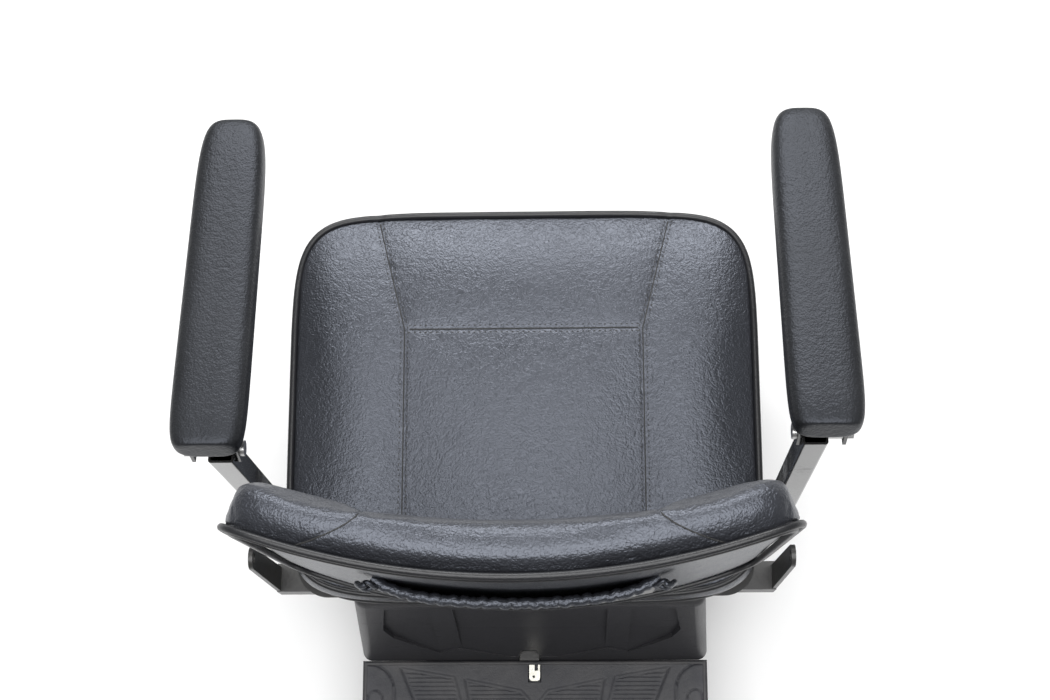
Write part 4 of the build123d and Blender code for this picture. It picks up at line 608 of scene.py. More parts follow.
def seat_form():
    """The cushion as rings: the top from its middle out to the piping, the bulging side down to
    the base, and the base back to the middle."""
    rings = []
    turn = np.linspace(0, TURN, 360, endpoint=False)
    for share in np.linspace(0.03, 1, 46):
        x, y = ring_xy(SEAT_HALF * share, SEAT_DEPTH * share, 2 + 6 * share ** 2, turn)
        rings.append(np.stack([x, y + SEAT_MID, seat_top(x, y + SEAT_MID)], axis=1))
    top, base = rings[-1], seat_ring(0, SEAT_BASE)
    for share in np.linspace(0, 1, 11)[1:]:
        ring = top * (1 - share) + base * share
        bulge = 1 + 5.5 * math.sin(math.pi * share) / SEAT_HALF
        rings.append(ring * (bulge, bulge, 1))
    for share in np.linspace(0.9, 0.03, 12):
        rings.append(base * (share, share, 1))
    return np.stack(rings)


def seat_path(x, y):
    """A path over the seat's top at about its height."""
    return np.stack(np.broadcast_arrays(x, y, 590.0), axis=1)


def seat_held(points):
    """Held at the seams, at the piping and on the base board."""
    gap = seat_gap(points)
    outline = np.abs((np.abs(points[:, 0]) / SEAT_HALF) ** CORNER_POWER
                     + (np.abs(points[:, 1] - SEAT_MID) / SEAT_DEPTH) ** CORNER_POWER)
    edge = np.abs(outline - 1) < 0.1
    near_top = points[:, 2] > seat_top(points[:, 0], points[:, 1]) - 5
    return np.maximum(np.exp(-(gap / 4.5) ** 2),
                      np.maximum(edge & near_top, points[:, 2] < SEAT_BASE + 7).astype(float))


# Radius of the painted seam-shade tubes, and how far their middles sit under the cover.
SEAM_SHADE_RADIUS = 0.75
SEAM_SUNK = 0.15
STITCH_OFF = 3.6  # from a seam to the stitch row each side of it
ROWS = (-STITCH_OFF, STITCH_OFF)
SEAM_SHORT = 5.0  # how far a cross seam stops short of the side seams
DROP_FROM = 40.0
DROP_REACH = 0.09
STITCH = [(x, y, z) for x, y, z in (
    (-1.7, -0.45, -0.3), (-1.7, 0.45, -0.3), (0, 0.5, 0.35), (0, -0.5, 0.35),
    (1.7, -0.45, -0.3), (1.7, 0.45, -0.3), (0, -0.5, -0.5), (0, 0.5, -0.5))]
STITCH_FACES = [(0, 3, 2, 1), (3, 4, 5, 2), (0, 1, 7, 6), (6, 7, 5, 4), (0, 6, 4, 3), (1, 2, 5, 7)]


def dropper(cover, way):
    """A function that drops a point onto the cover against the way, and gives where it lands and
    the normal there, or None twice."""
    work = bmesh.new()
    work.from_mesh(cover.data)
    tree = BVHTree.FromBMesh(work)
    work.free()

    def drop(spot):
        start = Vector(place(spot + way * DROP_FROM))
        return tree.ray_cast(start, Vector(-way), DROP_REACH)[:2]
    return drop


def sew(name, cover, paths, pitch=5.2, from_way=(0, 0, 1)):
    """Stitches laid on a cover along paths, each dropped onto the surface and turned along it."""
    way = np.asarray(from_way, float)
    drop = dropper(cover, way)
    spots, frames = [], []
    for path in paths:
        run = np.linalg.norm(np.diff(path, axis=0), axis=1).sum()
        points = even(path, max(2, int(run / pitch)), closed=False)
        ahead = along(points, False)
        for spot, step in zip(points, ahead):
            hit, normal = drop(spot)
            if hit is None:
                continue
            over = np.array(normal)
            side = np.cross(over, step)
            side /= np.linalg.norm(side)
            spots.append(unplace(hit))
            frames.append(np.stack([np.cross(side, over), side, over]))
    return copies(name, STITCH, STITCH_FACES, spots, frames)


def seam_shade_lines(name, cover, paths, from_way=(0, 0, 1)):
    """Painted shade in each seam's groove: a thin dark tube laid along the cover, its middle just
    under the surface, standing in for the shade of a groove too narrow for the mesh."""
    way = np.asarray(from_way, float)
    drop = dropper(cover, way)
    lines = []
    for path in paths:
        hits = [drop(spot)[0] for spot in even(path, 160, closed=False)]
        points = np.array([unplace(hit) for hit in hits if hit is not None])
        lines.append(tube(name, points - SEAM_SUNK * way, SEAM_SHADE_RADIUS, closed=False, sides=6,
                          up=tuple(way)))
    keep = lines[0]
    work = bmesh.new()
    for line in lines:
        work.from_mesh(line.data)
    work.to_mesh(keep.data)
    work.free()
    for line in lines[1:]:
        bpy.data.objects.remove(line)
    return keep


class SeatSizes(bpy.types.PropertyGroup):
    swell: bpy.props.FloatProperty(
        name="Swell", description="Most that the cover swells between its seams",
        default=0.005, min=0.0, max=0.03, unit="LENGTH")
    piping: bpy.props.FloatProperty(
        name="Piping radius", description="Radius of the corded edge of seat and backrest",
        default=0.0034, min=0.001, max=0.008, unit="LENGTH")


class SCOOTER_OT_seat(bpy.types.Operator):
    """Make the seat cushion, its piping and its stitching"""
    bl_idname = "scooter.seat"
    bl_label = "Seat Cushion"

    def execute(self, context):
        sizes = context.scene.scooter_seat
        cover = skin("seat_cover", seat_form(), wrap_cols=True, cap=True)
        puff(cover, seat_held, sizes.swell / MM)
        press_seams(cover, seat_gap, seat_run, 0.9, 1.7)
        crease(cover, 0.12, 4)
        dress(cover, FINISHES["vinyl"], "seat")
        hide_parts("seat_cushion")
        radius = sizes.piping / MM
        for name, ring in (("seat_piping_top", seat_ring(1.5, None) + (0, 0, 0.5)),
                           ("seat_piping_base", seat_ring(2.5, SEAT_BASE + 2))):
            dress(tube(name, even(ring, 420), radius), FINISHES["piping"], "seat")
        y = np.linspace(-180, 184, 120)
        line = SEAM_X + SEAM_SPLAY * np.clip(y - SEAM_Y, 0, None)
        x = np.linspace(-SEAM_X + SEAM_SHORT, SEAM_X - SEAM_SHORT, 60)
        sides = [seat_path(side * (line + off), y) for side in (-1, 1) for off in ROWS]
        across = [seat_path(x, SEAM_Y + off) for off in ROWS]
        dress(sew("seat_stitches", cover, sides + across), FINISHES["thread"], "seat")
        # Painted shade: thin dark tubes along the seam lines stand in for the shade in the seams'
        # grooves.
        lines = [seat_path(side * line, y) for side in (-1, 1)] + [seat_path(x, SEAM_Y)]
        dress(seam_shade_lines("seat_seam_shade", cover, lines), FINISHES["thread"], "seat")
        return {"FINISHED"}


# ---- backrest -------------------------------------------------------------------------------

BACK_TILT = math.radians(2.0)
BACK_FOOT = np.array([0.0, -207.0, 612.0])
BACK_TALL = 372.0
BACK_HALF = 228.5
BACK_BEND = (227.0 ** 2 + 44.0 ** 2) / (2 * 44.0)
BACK_POWER = 11.0
BACK_FRONT = 38.0  # from the board's rear face to the front face
BACK_CROSS = 245.0  # height of the cross seam


def back_place(across, near, up):
    """A point of the backrest from its distance round the curve, forward of the board's rear
    face, and up the tilt."""
    angle = across / BACK_BEND
    bend = BACK_BEND - near
    x = bend * np.sin(angle)
    forward = BACK_BEND - bend * np.cos(angle)
    cos, sin = math.cos(BACK_TILT), math.sin(BACK_TILT)
    return np.stack([x, BACK_FOOT[1] + forward * cos - up * sin,
                     BACK_FOOT[2] + forward * sin + up * cos], axis=-1)


def back_path(across, near, up):
    """A path on the backrest; any of the three may be one number."""
    return back_place(*(part.astype(float) for part in np.broadcast_arrays(across, near, up)))


def back_find(points):
    """The reverse of back_place, for an array of points."""
    cos, sin = math.cos(BACK_TILT), math.sin(BACK_TILT)
    y, z = points[:, 1] - BACK_FOOT[1], points[:, 2] - BACK_FOOT[2]
    forward, up = y * cos + z * sin, z * cos - y * sin
    bend = np.hypot(points[:, 0], BACK_BEND - forward)
    return np.arctan2(points[:, 0], BACK_BEND - forward) * BACK_BEND, BACK_BEND - bend, up


def back_section():
    """The cover's section, near and up: straight rear face, narrow ledge, round top roll, front
    face with a fuller lower half, and a flat foot."""
    up = np.linspace(4, 362, 40)
    rear = np.stack([np.full(40, -1.0), up], axis=1)
    ledge = np.stack([np.linspace(-0.5, 5, 6), np.full(6, 365.0)], axis=1)
    turn = np.linspace(math.pi, 0, 24)[1:-1]
    roll = np.stack([22.5 + 16.5 * np.cos(turn), 362 + 14 * np.sin(turn) ** 0.9], axis=1)
    down = up[::-1]
    front = np.stack([37 + 4.5 * np.exp(-((down - 120) / 70) ** 2)
                      + 2.5 * np.exp(-((down - 330) / 30) ** 2), down], axis=1)
    foot = np.stack([np.linspace(33, 3, 8), np.full(8, 2.0)], axis=1)
    return np.vstack([rear, ledge, roll, front, foot])


def back_form():
    """The section carried round the backrest's curve and drawn in to rounded ends."""
    section = back_section()
    middle = np.array([18.0, BACK_TALL / 2])
    lean = np.sin(np.linspace(-1, 1, 121) * math.pi / 2)
    shrink = np.clip(1 - np.abs(lean) ** BACK_POWER, 0.0004, 1) ** (1 / BACK_POWER)
    loops = middle + (section - middle)[None] * shrink[:, None, None]
    across = np.broadcast_to((lean * BACK_HALF)[:, None], loops.shape[:2])
    return back_place(across, loops[..., 0], loops[..., 1])


def back_seam_x(near, up):
    """Where the side seams run: level with the seat's on the front face, splayed over the roll."""
    over = np.clip((38 - near) / 39, 0, 1) * np.clip((up - 350) / 12, 0, 1)
    return SEAM_X + 50 * over ** 1.6


def back_gap(points):
    """Distance to the front face's side and cross seams; the rear face has none."""
    across, near, up = back_find(points)
    side = np.abs(np.abs(across) - back_seam_x(near, up))
    cross = np.hypot(up - BACK_CROSS, np.clip(np.abs(across) - SEAM_X, 0, None))
    cross = np.where(near > 20, cross, 1e3)
    front = (near > 14) | (up > 364)
    return np.where(front, np.minimum(side, cross), 1e3)


def back_run(points):
    """How far along its seam a point is: sideways by the cross seam, upwards by the others."""
    across, near, up = back_find(points)
    return np.where(np.abs(up - BACK_CROSS) < 12, across, up - near)


def back_edge(inset, near, count=400):
    """The rear face's outline, drawn in by the inset, on the layer at that distance."""
    turn = np.linspace(0, TURN, count, endpoint=False)
    across, up = ring_xy(BACK_HALF - 1 - inset, BACK_TALL / 2 - 3 - inset, BACK_POWER, turn)
    return back_place(across, np.full_like(across, near), up + BACK_TALL / 2 + 1)


def back_held(points):
    """Held at the seams, over the board behind and along the foot."""
    _, near, up = back_find(points)
    board = (near < 4.5) | (up < 10)
    return np.maximum(np.exp(-(back_gap(points) / 4.5) ** 2), board.astype(float))


class SCOOTER_OT_backrest(bpy.types.Operator):
    """Make the backrest's padded cover, piping and stitching"""
    bl_idname = "scooter.backrest"
    bl_label = "Backrest"

    def execute(self, context):
        sizes = context.scene.scooter_seat
        cover = skin("backrest_cover", back_form(), wrap_cols=True, cap=True)
        puff(cover, back_held, sizes.swell / MM)
        press_seams(cover, back_gap, back_run, 1.1, 1.9)
        crease(cover, 0.16, 11)
        dress(cover, FINISHES["vinyl"], "backrest")
        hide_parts("back_cushion", "back_board")
        radius = sizes.piping / MM
        way = (0, -1, 0)
        for name, inset, near in (("backrest_piping_outer", 0.5, -1.2),
                                  ("backrest_piping_inner", 6.8, -2.2)):
            path = even(back_edge(inset, near), 460)
            dress(tube(name, path, radius * 0.9, up=way), FINISHES["piping"], "backrest")
        dress(sew("backrest_stitches", cover, [back_edge(13, -1)[::2]], 5.6, way),
              FINISHES["thread_pale"], "backrest")
        up = np.linspace(20, 350, 100)
        across = np.linspace(-SEAM_X + SEAM_SHORT, SEAM_X - SEAM_SHORT, 60)
        paths = [back_path(side * (SEAM_X + off), BACK_FRONT, up)
                 for side in (-1, 1) for off in ROWS]
        paths += [back_path(across, BACK_FRONT, BACK_CROSS + off) for off in ROWS]
        dress(sew("backrest_front_stitches", cover, paths, from_way=(0, 1, 0)),
              FINISHES["thread"], "backrest")
        # Painted shade: thin dark tubes along the front seams stand in for the shade in their
        # grooves.
        lines = [back_path(side * SEAM_X, BACK_FRONT, up) for side in (-1, 1)]
        lines.append(back_path(across, BACK_FRONT, BACK_CROSS))
        dress(seam_shade_lines("backrest_seam_shade", cover, lines, (0, 1, 0)), FINISHES["thread"],
              "backrest")
        # Painted shade: the same dark tubes along the seams over the top roll.
        near = np.linspace(34, 1, 60)
        lines = [back_path(side * back_seam_x(near, 366.0), near, 370.0) for side in (-1, 1)]
        dress(seam_shade_lines("backrest_roll_seam_shade", cover, lines), FINISHES["thread"], "backrest")
        return {"FINISHED"}


# ---- pocket ---------------------------------------------------------------------------------

POCKET_HALF = 120.0
POCKET_LOW = 42.0
POCKET_TOP = 228.0


def pocket_cloth():
    """The pocket as one sheet: flat to the backrest at its edges, bellied between them, with
    gathers that fan down from the drawn hem."""
    u, v = np.meshgrid(np.linspace(-1, 1, 161), np.linspace(0, 1, 81), indexing="ij")
    belly = (1 - np.abs(u) ** 6) * (0.25 + 0.75 * v ** 0.6) * (1 - np.exp(-v * 9))
    gather = (np.sin(u * 61) + 0.6 * np.sin(u * 97 + 1.3)) * 0.55 * v ** 5
    sag = -4.0 * (1 - u ** 2) * v ** 3
    near = -2.5 - 9.0 * belly - gather * (1 - np.abs(u) ** 8)
    return back_place(u * POCKET_HALF * (1 - 0.02 * v), near,
                      POCKET_LOW + (POCKET_TOP - POCKET_LOW) * v + sag)


class SCOOTER_OT_pocket(bpy.types.Operator):
    """Make the cloth pocket behind the backrest, its elastic hem and its corner ties"""
    bl_idname = "scooter.pocket"
    bl_label = "Backrest Pocket"

    def execute(self, context):
        grid = pocket_cloth()
        bag = skin("pocket_bag", grid)
        thick = bag.modifiers.new("Cloth thickness", "SOLIDIFY")
        thick.thickness = 0.0009
        thick.offset = 0
        dress(bag, FINISHES["pocket_cloth"], "backrest")
        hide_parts("back_pocket")
        hem = grid[:, -1]
        swell = 4.6 + 0.35 * np.sin(np.linspace(0, 1, len(hem)) * 180)
        hem_roll = tube("pocket_hem", hem, swell, closed=False, sides=14, up=(0, -1, 0.2))
        dress(hem_roll, FINISHES["vinyl"], "backrest")
        u = np.linspace(0, 1, 90)
        loop = np.stack([np.sin(u * TURN * 1.5) * 9 * (1 - 0.4 * u),
                         -3 - 3.5 * np.sin(u * TURN * 2 + 1) ** 2,
                         np.cos(u * TURN * 1.5) * 13 - 8 * u], axis=1)
        for name, side, spot in (("left", -1, hem[0]), ("right", 1, hem[-1])):
            tie = tube(f"pocket_tie_{name}", spot + loop * (side, 1, 1) + (side * 3, -1, 2),
                       2.6 - u, closed=False, up=(0, -1, 0.1))
            dress(tie, FINISHES["vinyl"], "backrest")
        return {"FINISHED"}


# ---- armrest pads ---------------------------------------------------------------------------

PAD_SIDES = {"left": (-1, 2.0), "right": (1, 4.5)}  # side and how far each arm leans
PAD_SLOPE = 10.65
ARM_FOOT = np.array([-100.0, 513.0])
PAD_START = np.array([-4.0, 325.0])
PAD_X = 262.0
PAD_LONG = 328.0
PAD_WIDE = 63.4
PAD_DEEP = 34.0
PAD_FLAT = 0.96  # the underside's fullness beside the top's


def pad_form(side, lean):
    """A pad as rings along its length: each a rounded section, flatter below than above and a
    little wider at the back, drawn in to a round front and a squarer back."""
    lean = math.radians(lean)
    slope = lean + math.radians(PAD_SLOPE)
    start_y = ARM_FOOT[0] + PAD_START[0] * math.cos(lean) + PAD_START[1] * math.sin(lean)
    start_z = ARM_FOOT[1] - PAD_START[0] * math.sin(lean) + PAD_START[1] * math.cos(lean)
    run = np.sin(np.linspace(-1, 1, 91) * math.pi / 2)
    power = np.where(run > 0, 5.6, 9.0)
    close = np.clip(1 - np.abs(run) ** power, 0.0005, 1) ** (1 / power)
    turn = np.linspace(0, TURN, 64, endpoint=False)
    across, over = ring_xy(PAD_WIDE / 2, PAD_DEEP / 2, 3.4, turn)
    over = np.where(over > 0, over, over * PAD_FLAT)
    wide = (close * (1.01 - 0.03 * run))[:, None] * across
    deep = (close ** 0.6)[:, None] * over - PAD_DEEP / 2
    ahead = ((run + 1) / 2 * PAD_LONG)[:, None] * np.ones_like(across)
    cos, sin = math.cos(slope), math.sin(slope)
    return np.stack([side * PAD_X + wide, start_y + ahead * cos + deep * sin,
                     start_z - ahead * sin + deep * cos], axis=-1)


class SCOOTER_OT_armpads(bpy.types.Operator):
    """Make both armrest pads in skinned foam"""
    bl_idname = "scooter.armpads"
    bl_label = "Armrest Pads"

    def execute(self, context):
        for name, (side, lean) in PAD_SIDES.items():
            pad = skin(f"pad_foam_{name}", pad_form(side, lean), wrap_cols=True, cap=True)
            round_off = pad.modifiers.new("Subdivision", "SUBSURF")
            round_off.levels = round_off.render_levels = 1
            dress(pad, FINISHES["pad_foam"], f"pad_{name}")
            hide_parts(f"arm_pad_{name}")
        return {"FINISHED"}


# ---- floor mat ------------------------------------------------------------------------------

MAT_HALF = 201.6
MAT_BACK = -232.4
MAT_FRONT = -541.6
MAT_CORNER = 34.6
MAT_TOP = 140.0
MAT_FOOT = 136.6
PANEL_SHAPES = (
    ((162, -235), (96, -246), (52, -404), (90, -404)),
    ((84, -248.5), (16, -262), (5, -274), (5, -300), (40, -318), (73, -310)),
    ((40, -424), (4, -424), (4, -522), (92, -522)),
    ((196, -300), (150, -300), (112, -404), (112, -500), (196, -500)),
)
RIB_PITCH = 5.0
PLATE_X = 169.0
PLATE_Y = -231.5
PLATE_ROUND = 30.0
PLUG = (191.5, -271.0, 9.0)


def inside(x, y, shape):
    """Signed distance to a convex outline: the greatest of the distances to its edges' lines."""
    corners = np.asarray(shape, float)
    middle = corners.mean(0)
    deepest = np.full(x.shape, -1e9)
    for start, end in zip(corners, np.roll(corners, -1, 0)):
        edge = end - start
        out = np.array([edge[1], -edge[0]]) / np.linalg.norm(edge)
        if (middle - start) @ out > 0:
            out = -out
        deepest = np.maximum(deepest, (x - start[0]) * out[0] + (y - start[1]) * out[1])
    return deepest


def mat_form():
    """The mat's top as heights over a grid: ribbed panels let into it, a groove round each corner
    plate and plug, and a notch for the hook plate."""
    y = np.linspace(MAT_BACK, MAT_FRONT, 312)
    forward = np.clip(MAT_FRONT + MAT_CORNER - y, 0, MAT_CORNER)
    half = MAT_HALF - MAT_CORNER + np.sqrt(MAT_CORNER ** 2 - forward ** 2)
    u = np.linspace(-1, 1, 255)
    x = half[:, None] * u[None]
    y = np.broadcast_to(y[:, None], x.shape)
    side = np.abs(x)
    height = np.zeros_like(x)
    ribs = 0.35 * (1 + np.sin(y * TURN / RIB_PITCH))
    for shape in PANEL_SHAPES:
        depth = inside(side, y, shape)
        let_in = 1 / (1 + np.exp(np.clip(depth / 0.5, -40, 40)))
        height -= 1.5 * let_in
        height += np.where(depth < -4, ribs, 0)
    dx, dy = PLATE_X + PLATE_ROUND - side, y - (PLATE_Y - PLATE_ROUND)
    round_gap = np.hypot(np.clip(dx, 0, None), np.clip(dy, 0, None)) - PLATE_ROUND
    edge = np.where((dx > 0) | (dy > 0), round_gap, -9.0)
    height -= 1.3 * np.exp(-(edge / 1.1) ** 2)
    plug = np.hypot(side - PLUG[0], y - PLUG[1]) - PLUG[2]
    height -= 1.0 * np.exp(-(plug / 1.0) ** 2)
    notch = (side < 7.0) & (y > -252.4)
    top = np.where(notch, MAT_FOOT + 0.05, MAT_TOP + height)
    grid = np.stack([x, y, top], axis=-1)
    rim = grid.copy()
    rim[..., 2] = MAT_FOOT
    grid = np.concatenate([rim[:1], grid, rim[-1:]])
    sides = grid.copy()
    sides[..., 2] = MAT_FOOT
    return np.concatenate([sides[:, :1], grid, sides[:, -1:]], axis=1)


def close_below(mesh):
    """Fills the one open edge of a mesh."""
    work = bmesh.new()
    work.from_mesh(mesh)
    rim = [edge for edge in work.edges if edge.is_boundary]
    bmesh.ops.holes_fill(work, edges=rim)
    bmesh.ops.recalc_face_normals(work, faces=work.faces)
    work.to_mesh(mesh)
    work.free()


class SCOOTER_OT_mat(bpy.types.Operator):
    """Make the floor mat with its ribbed panels"""
    bl_idname = "scooter.mat"
    bl_label = "Floor Mat"

    def execute(self, context):
        mat = skin("mat_top", mat_form())
        close_below(mat.data)
        smooth(mat, 30)
        dress(mat, FINISHES["mat_rubber"], "chassis")
        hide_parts("floor_mat")
        return {"FINISHED"}


# ---- tyres ----------------------------------------------------------------------------------

TYRE_WALL = 17.0


def tyre_form(x_mid, wide, low, high, blocks):
    """A tyre as sections carried round its axle: rounded walls, and a tread of slanting blocks
    with a groove each side of its middle rib."""
    y_mid, z_mid = (low + high) / 2
    outer = (high[1] - low[1]) / 2
    round_turn = np.linspace(0, TURN, 12 * blocks, endpoint=False)
    section = np.linspace(0, TURN, 72, endpoint=False)
    across, out = ring_xy(wide / 2, TYRE_WALL, 3.0, section)
    tread = np.clip((out - 12.5) / 2.0, 0, 1)
    phase = round_turn[:, None] * blocks / TURN + 0.35 * np.abs(across)[None] / (wide / 2)
    gap = np.abs((phase % 1) - 0.5) < 0.13
    lane = np.abs(np.abs(across) - wide * 0.13) < wide * 0.045
    cut = np.where(gap & (np.abs(across) > wide * 0.17)[None], 2.6, 0.0)
    cut = np.maximum(cut, np.where(lane, 2.6, 0.0)[None])
    wall_ring = 0.5 * np.exp(-((out - 2) / 1.6) ** 2) * (np.abs(across) > wide * 0.4)
    radius = outer - TYRE_WALL + out[None] - cut * tread[None]
    x = x_mid + across * (1 + wall_ring * 0.02)
    return np.stack([np.broadcast_to(x, radius.shape),
                     y_mid + radius * np.cos(round_turn)[:, None],
                     z_mid + radius * np.sin(round_turn)[:, None]], axis=-1)


def node_limits(name):
    """A frame node's corners in millimetres from the seat post's axis."""
    low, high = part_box(name)
    return unplace(low), unplace(high)


class SCOOTER_OT_tyres(bpy.types.Operator):
    """Make the four treaded tyres"""
    bl_idname = "scooter.tyres"
    bl_label = "Tyres"

    def execute(self, context):
        low, high = node_limits("rear_tyres")
        rear_wide = 54.0
        tyres = []
        for name, x_mid in (("tyre_rear_left", low[0] + rear_wide / 2),
                            ("tyre_rear_right", high[0] - rear_wide / 2)):
            grid = tyre_form(x_mid, rear_wide, low[1:], high[1:], 30)
            tyres.append((name, grid, "rear_drive", "rear_tyres"))
        for side in ("left", "right"):
            low, high = node_limits(f"front_tyre_{side}")
            grid = tyre_form((low[0] + high[0]) / 2, high[0] - low[0], low[1:], high[1:], 28)
            tyres.append((f"tyre_front_{side}", grid, f"front_wheel_{side}",
                          f"front_tyre_{side}"))
        for name, grid, body, stands_for in tyres:
            tyre = skin(name, grid, wrap_rows=True, wrap_cols=True)
            smooth(tyre, 35)
            dress(tyre, FINISHES["tyre"], body)
            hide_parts(stands_for)
        return {"FINISHED"}


# ---- tiller ---------------------------------------------------------------------------------

TILLER_FOOT = np.array([0.0, -690.0, 240.0])
RAKE = math.radians(18.0)
GRIP_END = np.array([214.0, 56.0, 655.0])
GRIP_WAY = np.array([102.0, 56.0, 0.0]) / math.hypot(102.0, 56.0)
GRIP_LONG = 100.0
CONSOLE_TOP = 690.0
DIAL = (0.0, 18.0)


def tiller_place(local):
    """Points given across, forward and up the tiller, placed about its pivot."""
    local = np.asarray(local, float)
    cos, sin = math.cos(RAKE), math.sin(RAKE)
    return np.stack([local[..., 0], TILLER_FOOT[1] + local[..., 1] * cos + local[..., 2] * sin,
                     TILLER_FOOT[2] - local[..., 1] * sin + local[..., 2] * cos], axis=-1)


def grip_form(side):
    """A grip as rings along the bar's end: ribbed, with finger swells, a collar and a round cap."""
    along_grip = np.linspace(0, GRIP_LONG, 221)
    ribs = 0.5 * np.sin(along_grip * TURN / 4.0) * (along_grip > 10) * (along_grip < 90)
    swell = 0.5 * np.cos(along_grip * TURN / 24.0)
    collar = 0.9 * (along_grip > 94)
    radius = 14.6 + ribs + swell + collar
    radius = radius * np.sqrt(np.clip(1 - (1 - np.clip(along_grip / 6, 0, 1)) ** 2, 0.01, 1))
    spots = GRIP_END[None] - along_grip[:, None] * GRIP_WAY[None]
    across = np.cross(GRIP_WAY, (0, 0, 1))
    turn = np.linspace(0, TURN, 40, endpoint=False)
    ring = np.cos(turn)[:, None] * across[None] + np.sin(turn)[:, None] * np.array([[0, 0, 1]])
    local = spots[:, None] + radius[:, None, None] * ring[None]
    return tiller_place(local * (side, 1, 1))


def slab(long, wide, tall):
    """Corners and faces of one small raised mark with a narrower top."""
    points = [(x * long / 2 * k, y * wide / 2 * k, z) for z, k in ((0, 1), (tall, 0.86))
              for x, y in ((-1, -1), (1, -1), (1, 1), (-1, 1))]
    faces = [(3, 2, 1, 0), (4, 5, 6, 7)] + [(i, (i + 1) % 4, (i + 1) % 4 + 4, i + 4)
                                           for i in range(4)]
    return points, faces


def marks(name, spots, turns, size, top, body, tone, slot):
    """Small raised marks lying on the console's slope, each turned by its angle."""
    points, faces = slab(*size)
    spots = np.array([(x, y, top) for x, y in spots], float)
    frames = []
    for turn in turns:
        cos, sin = math.cos(turn), math.sin(turn)
        local = np.array([(cos, sin, 0), (-sin, cos, 0), (0, 0, 1)])
        frames.append(tiller_place(local) - tiller_place(np.zeros(3)))
    made = copies(name, points, faces, tiller_place(spots), frames)
    return dress(made, tone, body)


class SCOOTER_OT_tiller(bpy.types.Operator):
    """Make the tiller's grips and the marks on its console"""
    bl_idname = "scooter.tiller"
    bl_label = "Tiller Trim"

    def execute(self, context):
        grips = [skin(f"grip_{name}", grip_form(side), wrap_cols=True, cap=True)
                 for name, side in (("left", -1), ("right", 1))]
        for grip in grips:
            smooth(grip, 50)
            dress(grip, FINISHES["grip_rubber"], "tiller")
            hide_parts("handle_grips")
        angles = np.radians(np.linspace(-40, 220, 11))
        ring = [(DIAL[0] + 23 * math.cos(a), DIAL[1] + 23 * math.sin(a)) for a in angles]
        marks("dial_scale", ring, angles, (5.0, 1.2, 0.4), CONSOLE_TOP - 0.1, "tiller",
              FINISHES["marking"], "control_plastic")
        gauge = [(x, -24.0) for x in np.linspace(-24, 24, 7)]
        marks("charge_lights", gauge, [0.0] * 7, (5.4, 5.4, 0.9), CONSOLE_TOP - 0.1, "tiller",
              FINISHES["lamp_clear"], "lamp_clear")
        return {"FINISHED"}


# ---- stage ----------------------------------------------------------------------------------

EYE = (0.0462, -0.0858, 2.2501)
LENS = 59.35
HEADING = math.radians(-6.24)
LOOK_DOWN = math.radians(76.06)
ROLL = math.radians(-6.55)


def aim(heading, down, roll):
    """A camera's turn: its view direction from a heading and a downward tilt, rolled about it."""
    view = Vector((math.sin(heading) * math.cos(down), math.cos(heading) * math.cos(down),
                   -math.sin(down)))
    flat = view.cross(Vector((0, 0, 1))).normalized()
    over = flat.cross(view)
    right = math.cos(roll) * flat + math.sin(roll) * over
    up = math.cos(roll) * over - math.sin(roll) * flat
    return Matrix((right, up, -view)).transposed()


def soft_light(name, spot, target, size, power):
    """A large oblong lamp facing a target."""
    lamp = bpy.data.lights.new(name, "AREA")
    lamp.shape = "RECTANGLE"
    lamp.size, lamp.size_y = size
    lamp.energy = power
    made = link(name, lamp)
    made.location = spot
    made.rotation_euler = (Vector(target) - Vector(spot)).to_track_quat("-Z", "Y").to_euler()
    return made


class StageSettings(bpy.types.PropertyGroup):
    overhead: bpy.props.FloatProperty(
        name="Overhead light", description="Power of the large lamp over the scooter",
        default=112.0, min=0.0, unit="POWER")
    surround: bpy.props.FloatProperty(
        name="Surround", description="Brightness of the white surroundings",
        default=0.3, min=0.0, subtype="FACTOR")


class SCOOTER_OT_stage(bpy.types.Operator):
    """Make the pale floor, the studio light and the camera"""
    bl_idname = "scooter.stage"
    bl_label = "Stage"

    def execute(self, context):
        scene = context.scene
        settings = scene.scooter_stage
        reach = 7000.0
        corners = np.array([[(-reach, -reach, 0), (-reach, reach, 0)],
                            [(reach, -reach, 0), (reach, reach, 0)]], float)
        floor = skin("studio_floor", corners)
        tone = bpy.data.materials.new("Pale floor")
        tone.use_nodes = True
        shader = tone.node_tree.nodes["Principled BSDF"]
        shader.inputs["Base Color"].default_value = (0.92, 0.92, 0.92, 1)
        shader.inputs["Roughness"].default_value = 0.9
        floor.data.materials.append(tone)
        world = bpy.data.worlds.new("Studio")
        world.use_nodes = True
        backdrop = world.node_tree.nodes["Background"]
        backdrop.inputs["Color"].default_value = (1, 1, 1, 1)
        backdrop.inputs["Strength"].default_value = settings.surround
        scene.world = world
        soft_light("Overhead", (0.0, -0.4, 3.3), (0.0, -0.4, 0.0), (3.0, 2.6), settings.overhead)
        soft_light("Front strip", (0.0, 2.7, 2.3), (0.0, 0.45, 0.6), (2.8, 1.1),
                   settings.overhead * 0.75)
        lens = bpy.data.cameras.new("Camera")
        lens.lens = LENS
        lens.sensor_width = 36.0
        camera = link("Camera", lens)
        camera.location = EYE
        camera.rotation_euler = aim(HEADING, LOOK_DOWN, ROLL).to_euler()
        scene.camera = camera
        scene.view_settings.view_transform = "Standard"
        return {"FINISHED"}


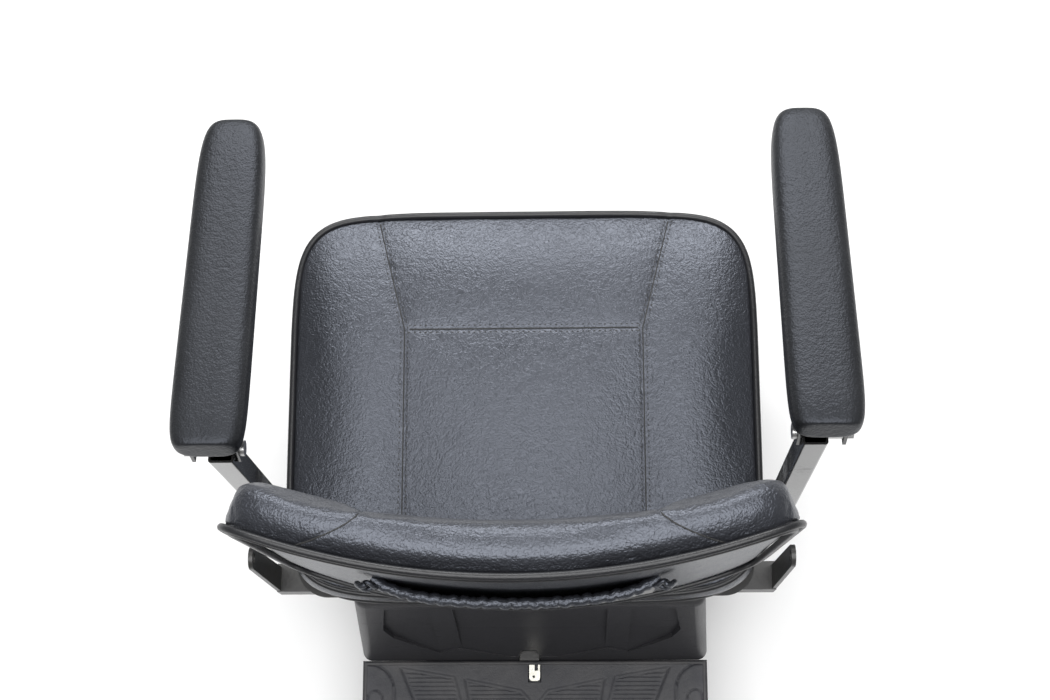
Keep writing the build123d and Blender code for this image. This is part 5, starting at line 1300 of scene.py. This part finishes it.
class LookSettings(bpy.types.PropertyGroup):
    vinyl: bpy.props.FloatVectorProperty(
        name="Vinyl", description="Colour of the upholstery", subtype="COLOR", size=3,
        default=(0.013, 0.0135, 0.016), min=0.0, max=1.0)
    body: bpy.props.FloatVectorProperty(
        name="Body", description="Colour of the body plastic", subtype="COLOR", size=3,
        default=(0.026, 0.026, 0.030), min=0.0, max=1.0)
    rubber: bpy.props.FloatVectorProperty(
        name="Mat", description="Colour of the mat", subtype="COLOR", size=3,
        default=(0.028, 0.029, 0.036), min=0.0, max=1.0)


class SCOOTER_OT_finishes(bpy.types.Operator):
    """Build the finishes and put them on the frame's parts"""
    bl_idname = "scooter.finishes"
    bl_label = "Finishes"

    def execute(self, context):
        make_finishes(context.scene.scooter_look)
        finish_nodes()
        return {"FINISHED"}


STEPS = (SCOOTER_OT_finishes, SCOOTER_OT_seat, SCOOTER_OT_backrest, SCOOTER_OT_pocket,
         SCOOTER_OT_armpads, SCOOTER_OT_mat, SCOOTER_OT_tyres, SCOOTER_OT_tiller,
         SCOOTER_OT_stage)
SETTINGS = {"scooter_seat": SeatSizes, "scooter_stage": StageSettings,
            "scooter_look": LookSettings}


class SCOOTER_PT_sidebar(bpy.types.Panel):
    """The buttons that make the pieces, and their sizes and colours"""
    bl_idname = "SCOOTER_PT_sidebar"
    bl_label = "Scooter"
    bl_space_type = "VIEW_3D"
    bl_region_type = "UI"
    bl_category = "Scooter"

    def draw(self, context):
        for step in STEPS:
            self.layout.operator(step.bl_idname)
        for name, kind in SETTINGS.items():
            for key in kind.__annotations__:
                self.layout.prop(getattr(context.scene, name), key)


def register():
    for kind in (*SETTINGS.values(), *STEPS, SCOOTER_PT_sidebar):
        bpy.utils.register_class(kind)
    for name, kind in SETTINGS.items():
        setattr(bpy.types.Scene, name, bpy.props.PointerProperty(type=kind))


def unregister():
    for name in SETTINGS:
        delattr(bpy.types.Scene, name)
    for kind in (SCOOTER_PT_sidebar, *reversed(STEPS), *SETTINGS.values()):
        bpy.utils.unregister_class(kind)


def main():
    """Registers the add-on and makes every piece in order."""
    register()
    for step in STEPS:
        call = step.bl_idname.split(".")[1]
        getattr(bpy.ops.scooter, call)()
    bpy.context.view_layer.update()


if __name__ == "__main__":
    main()
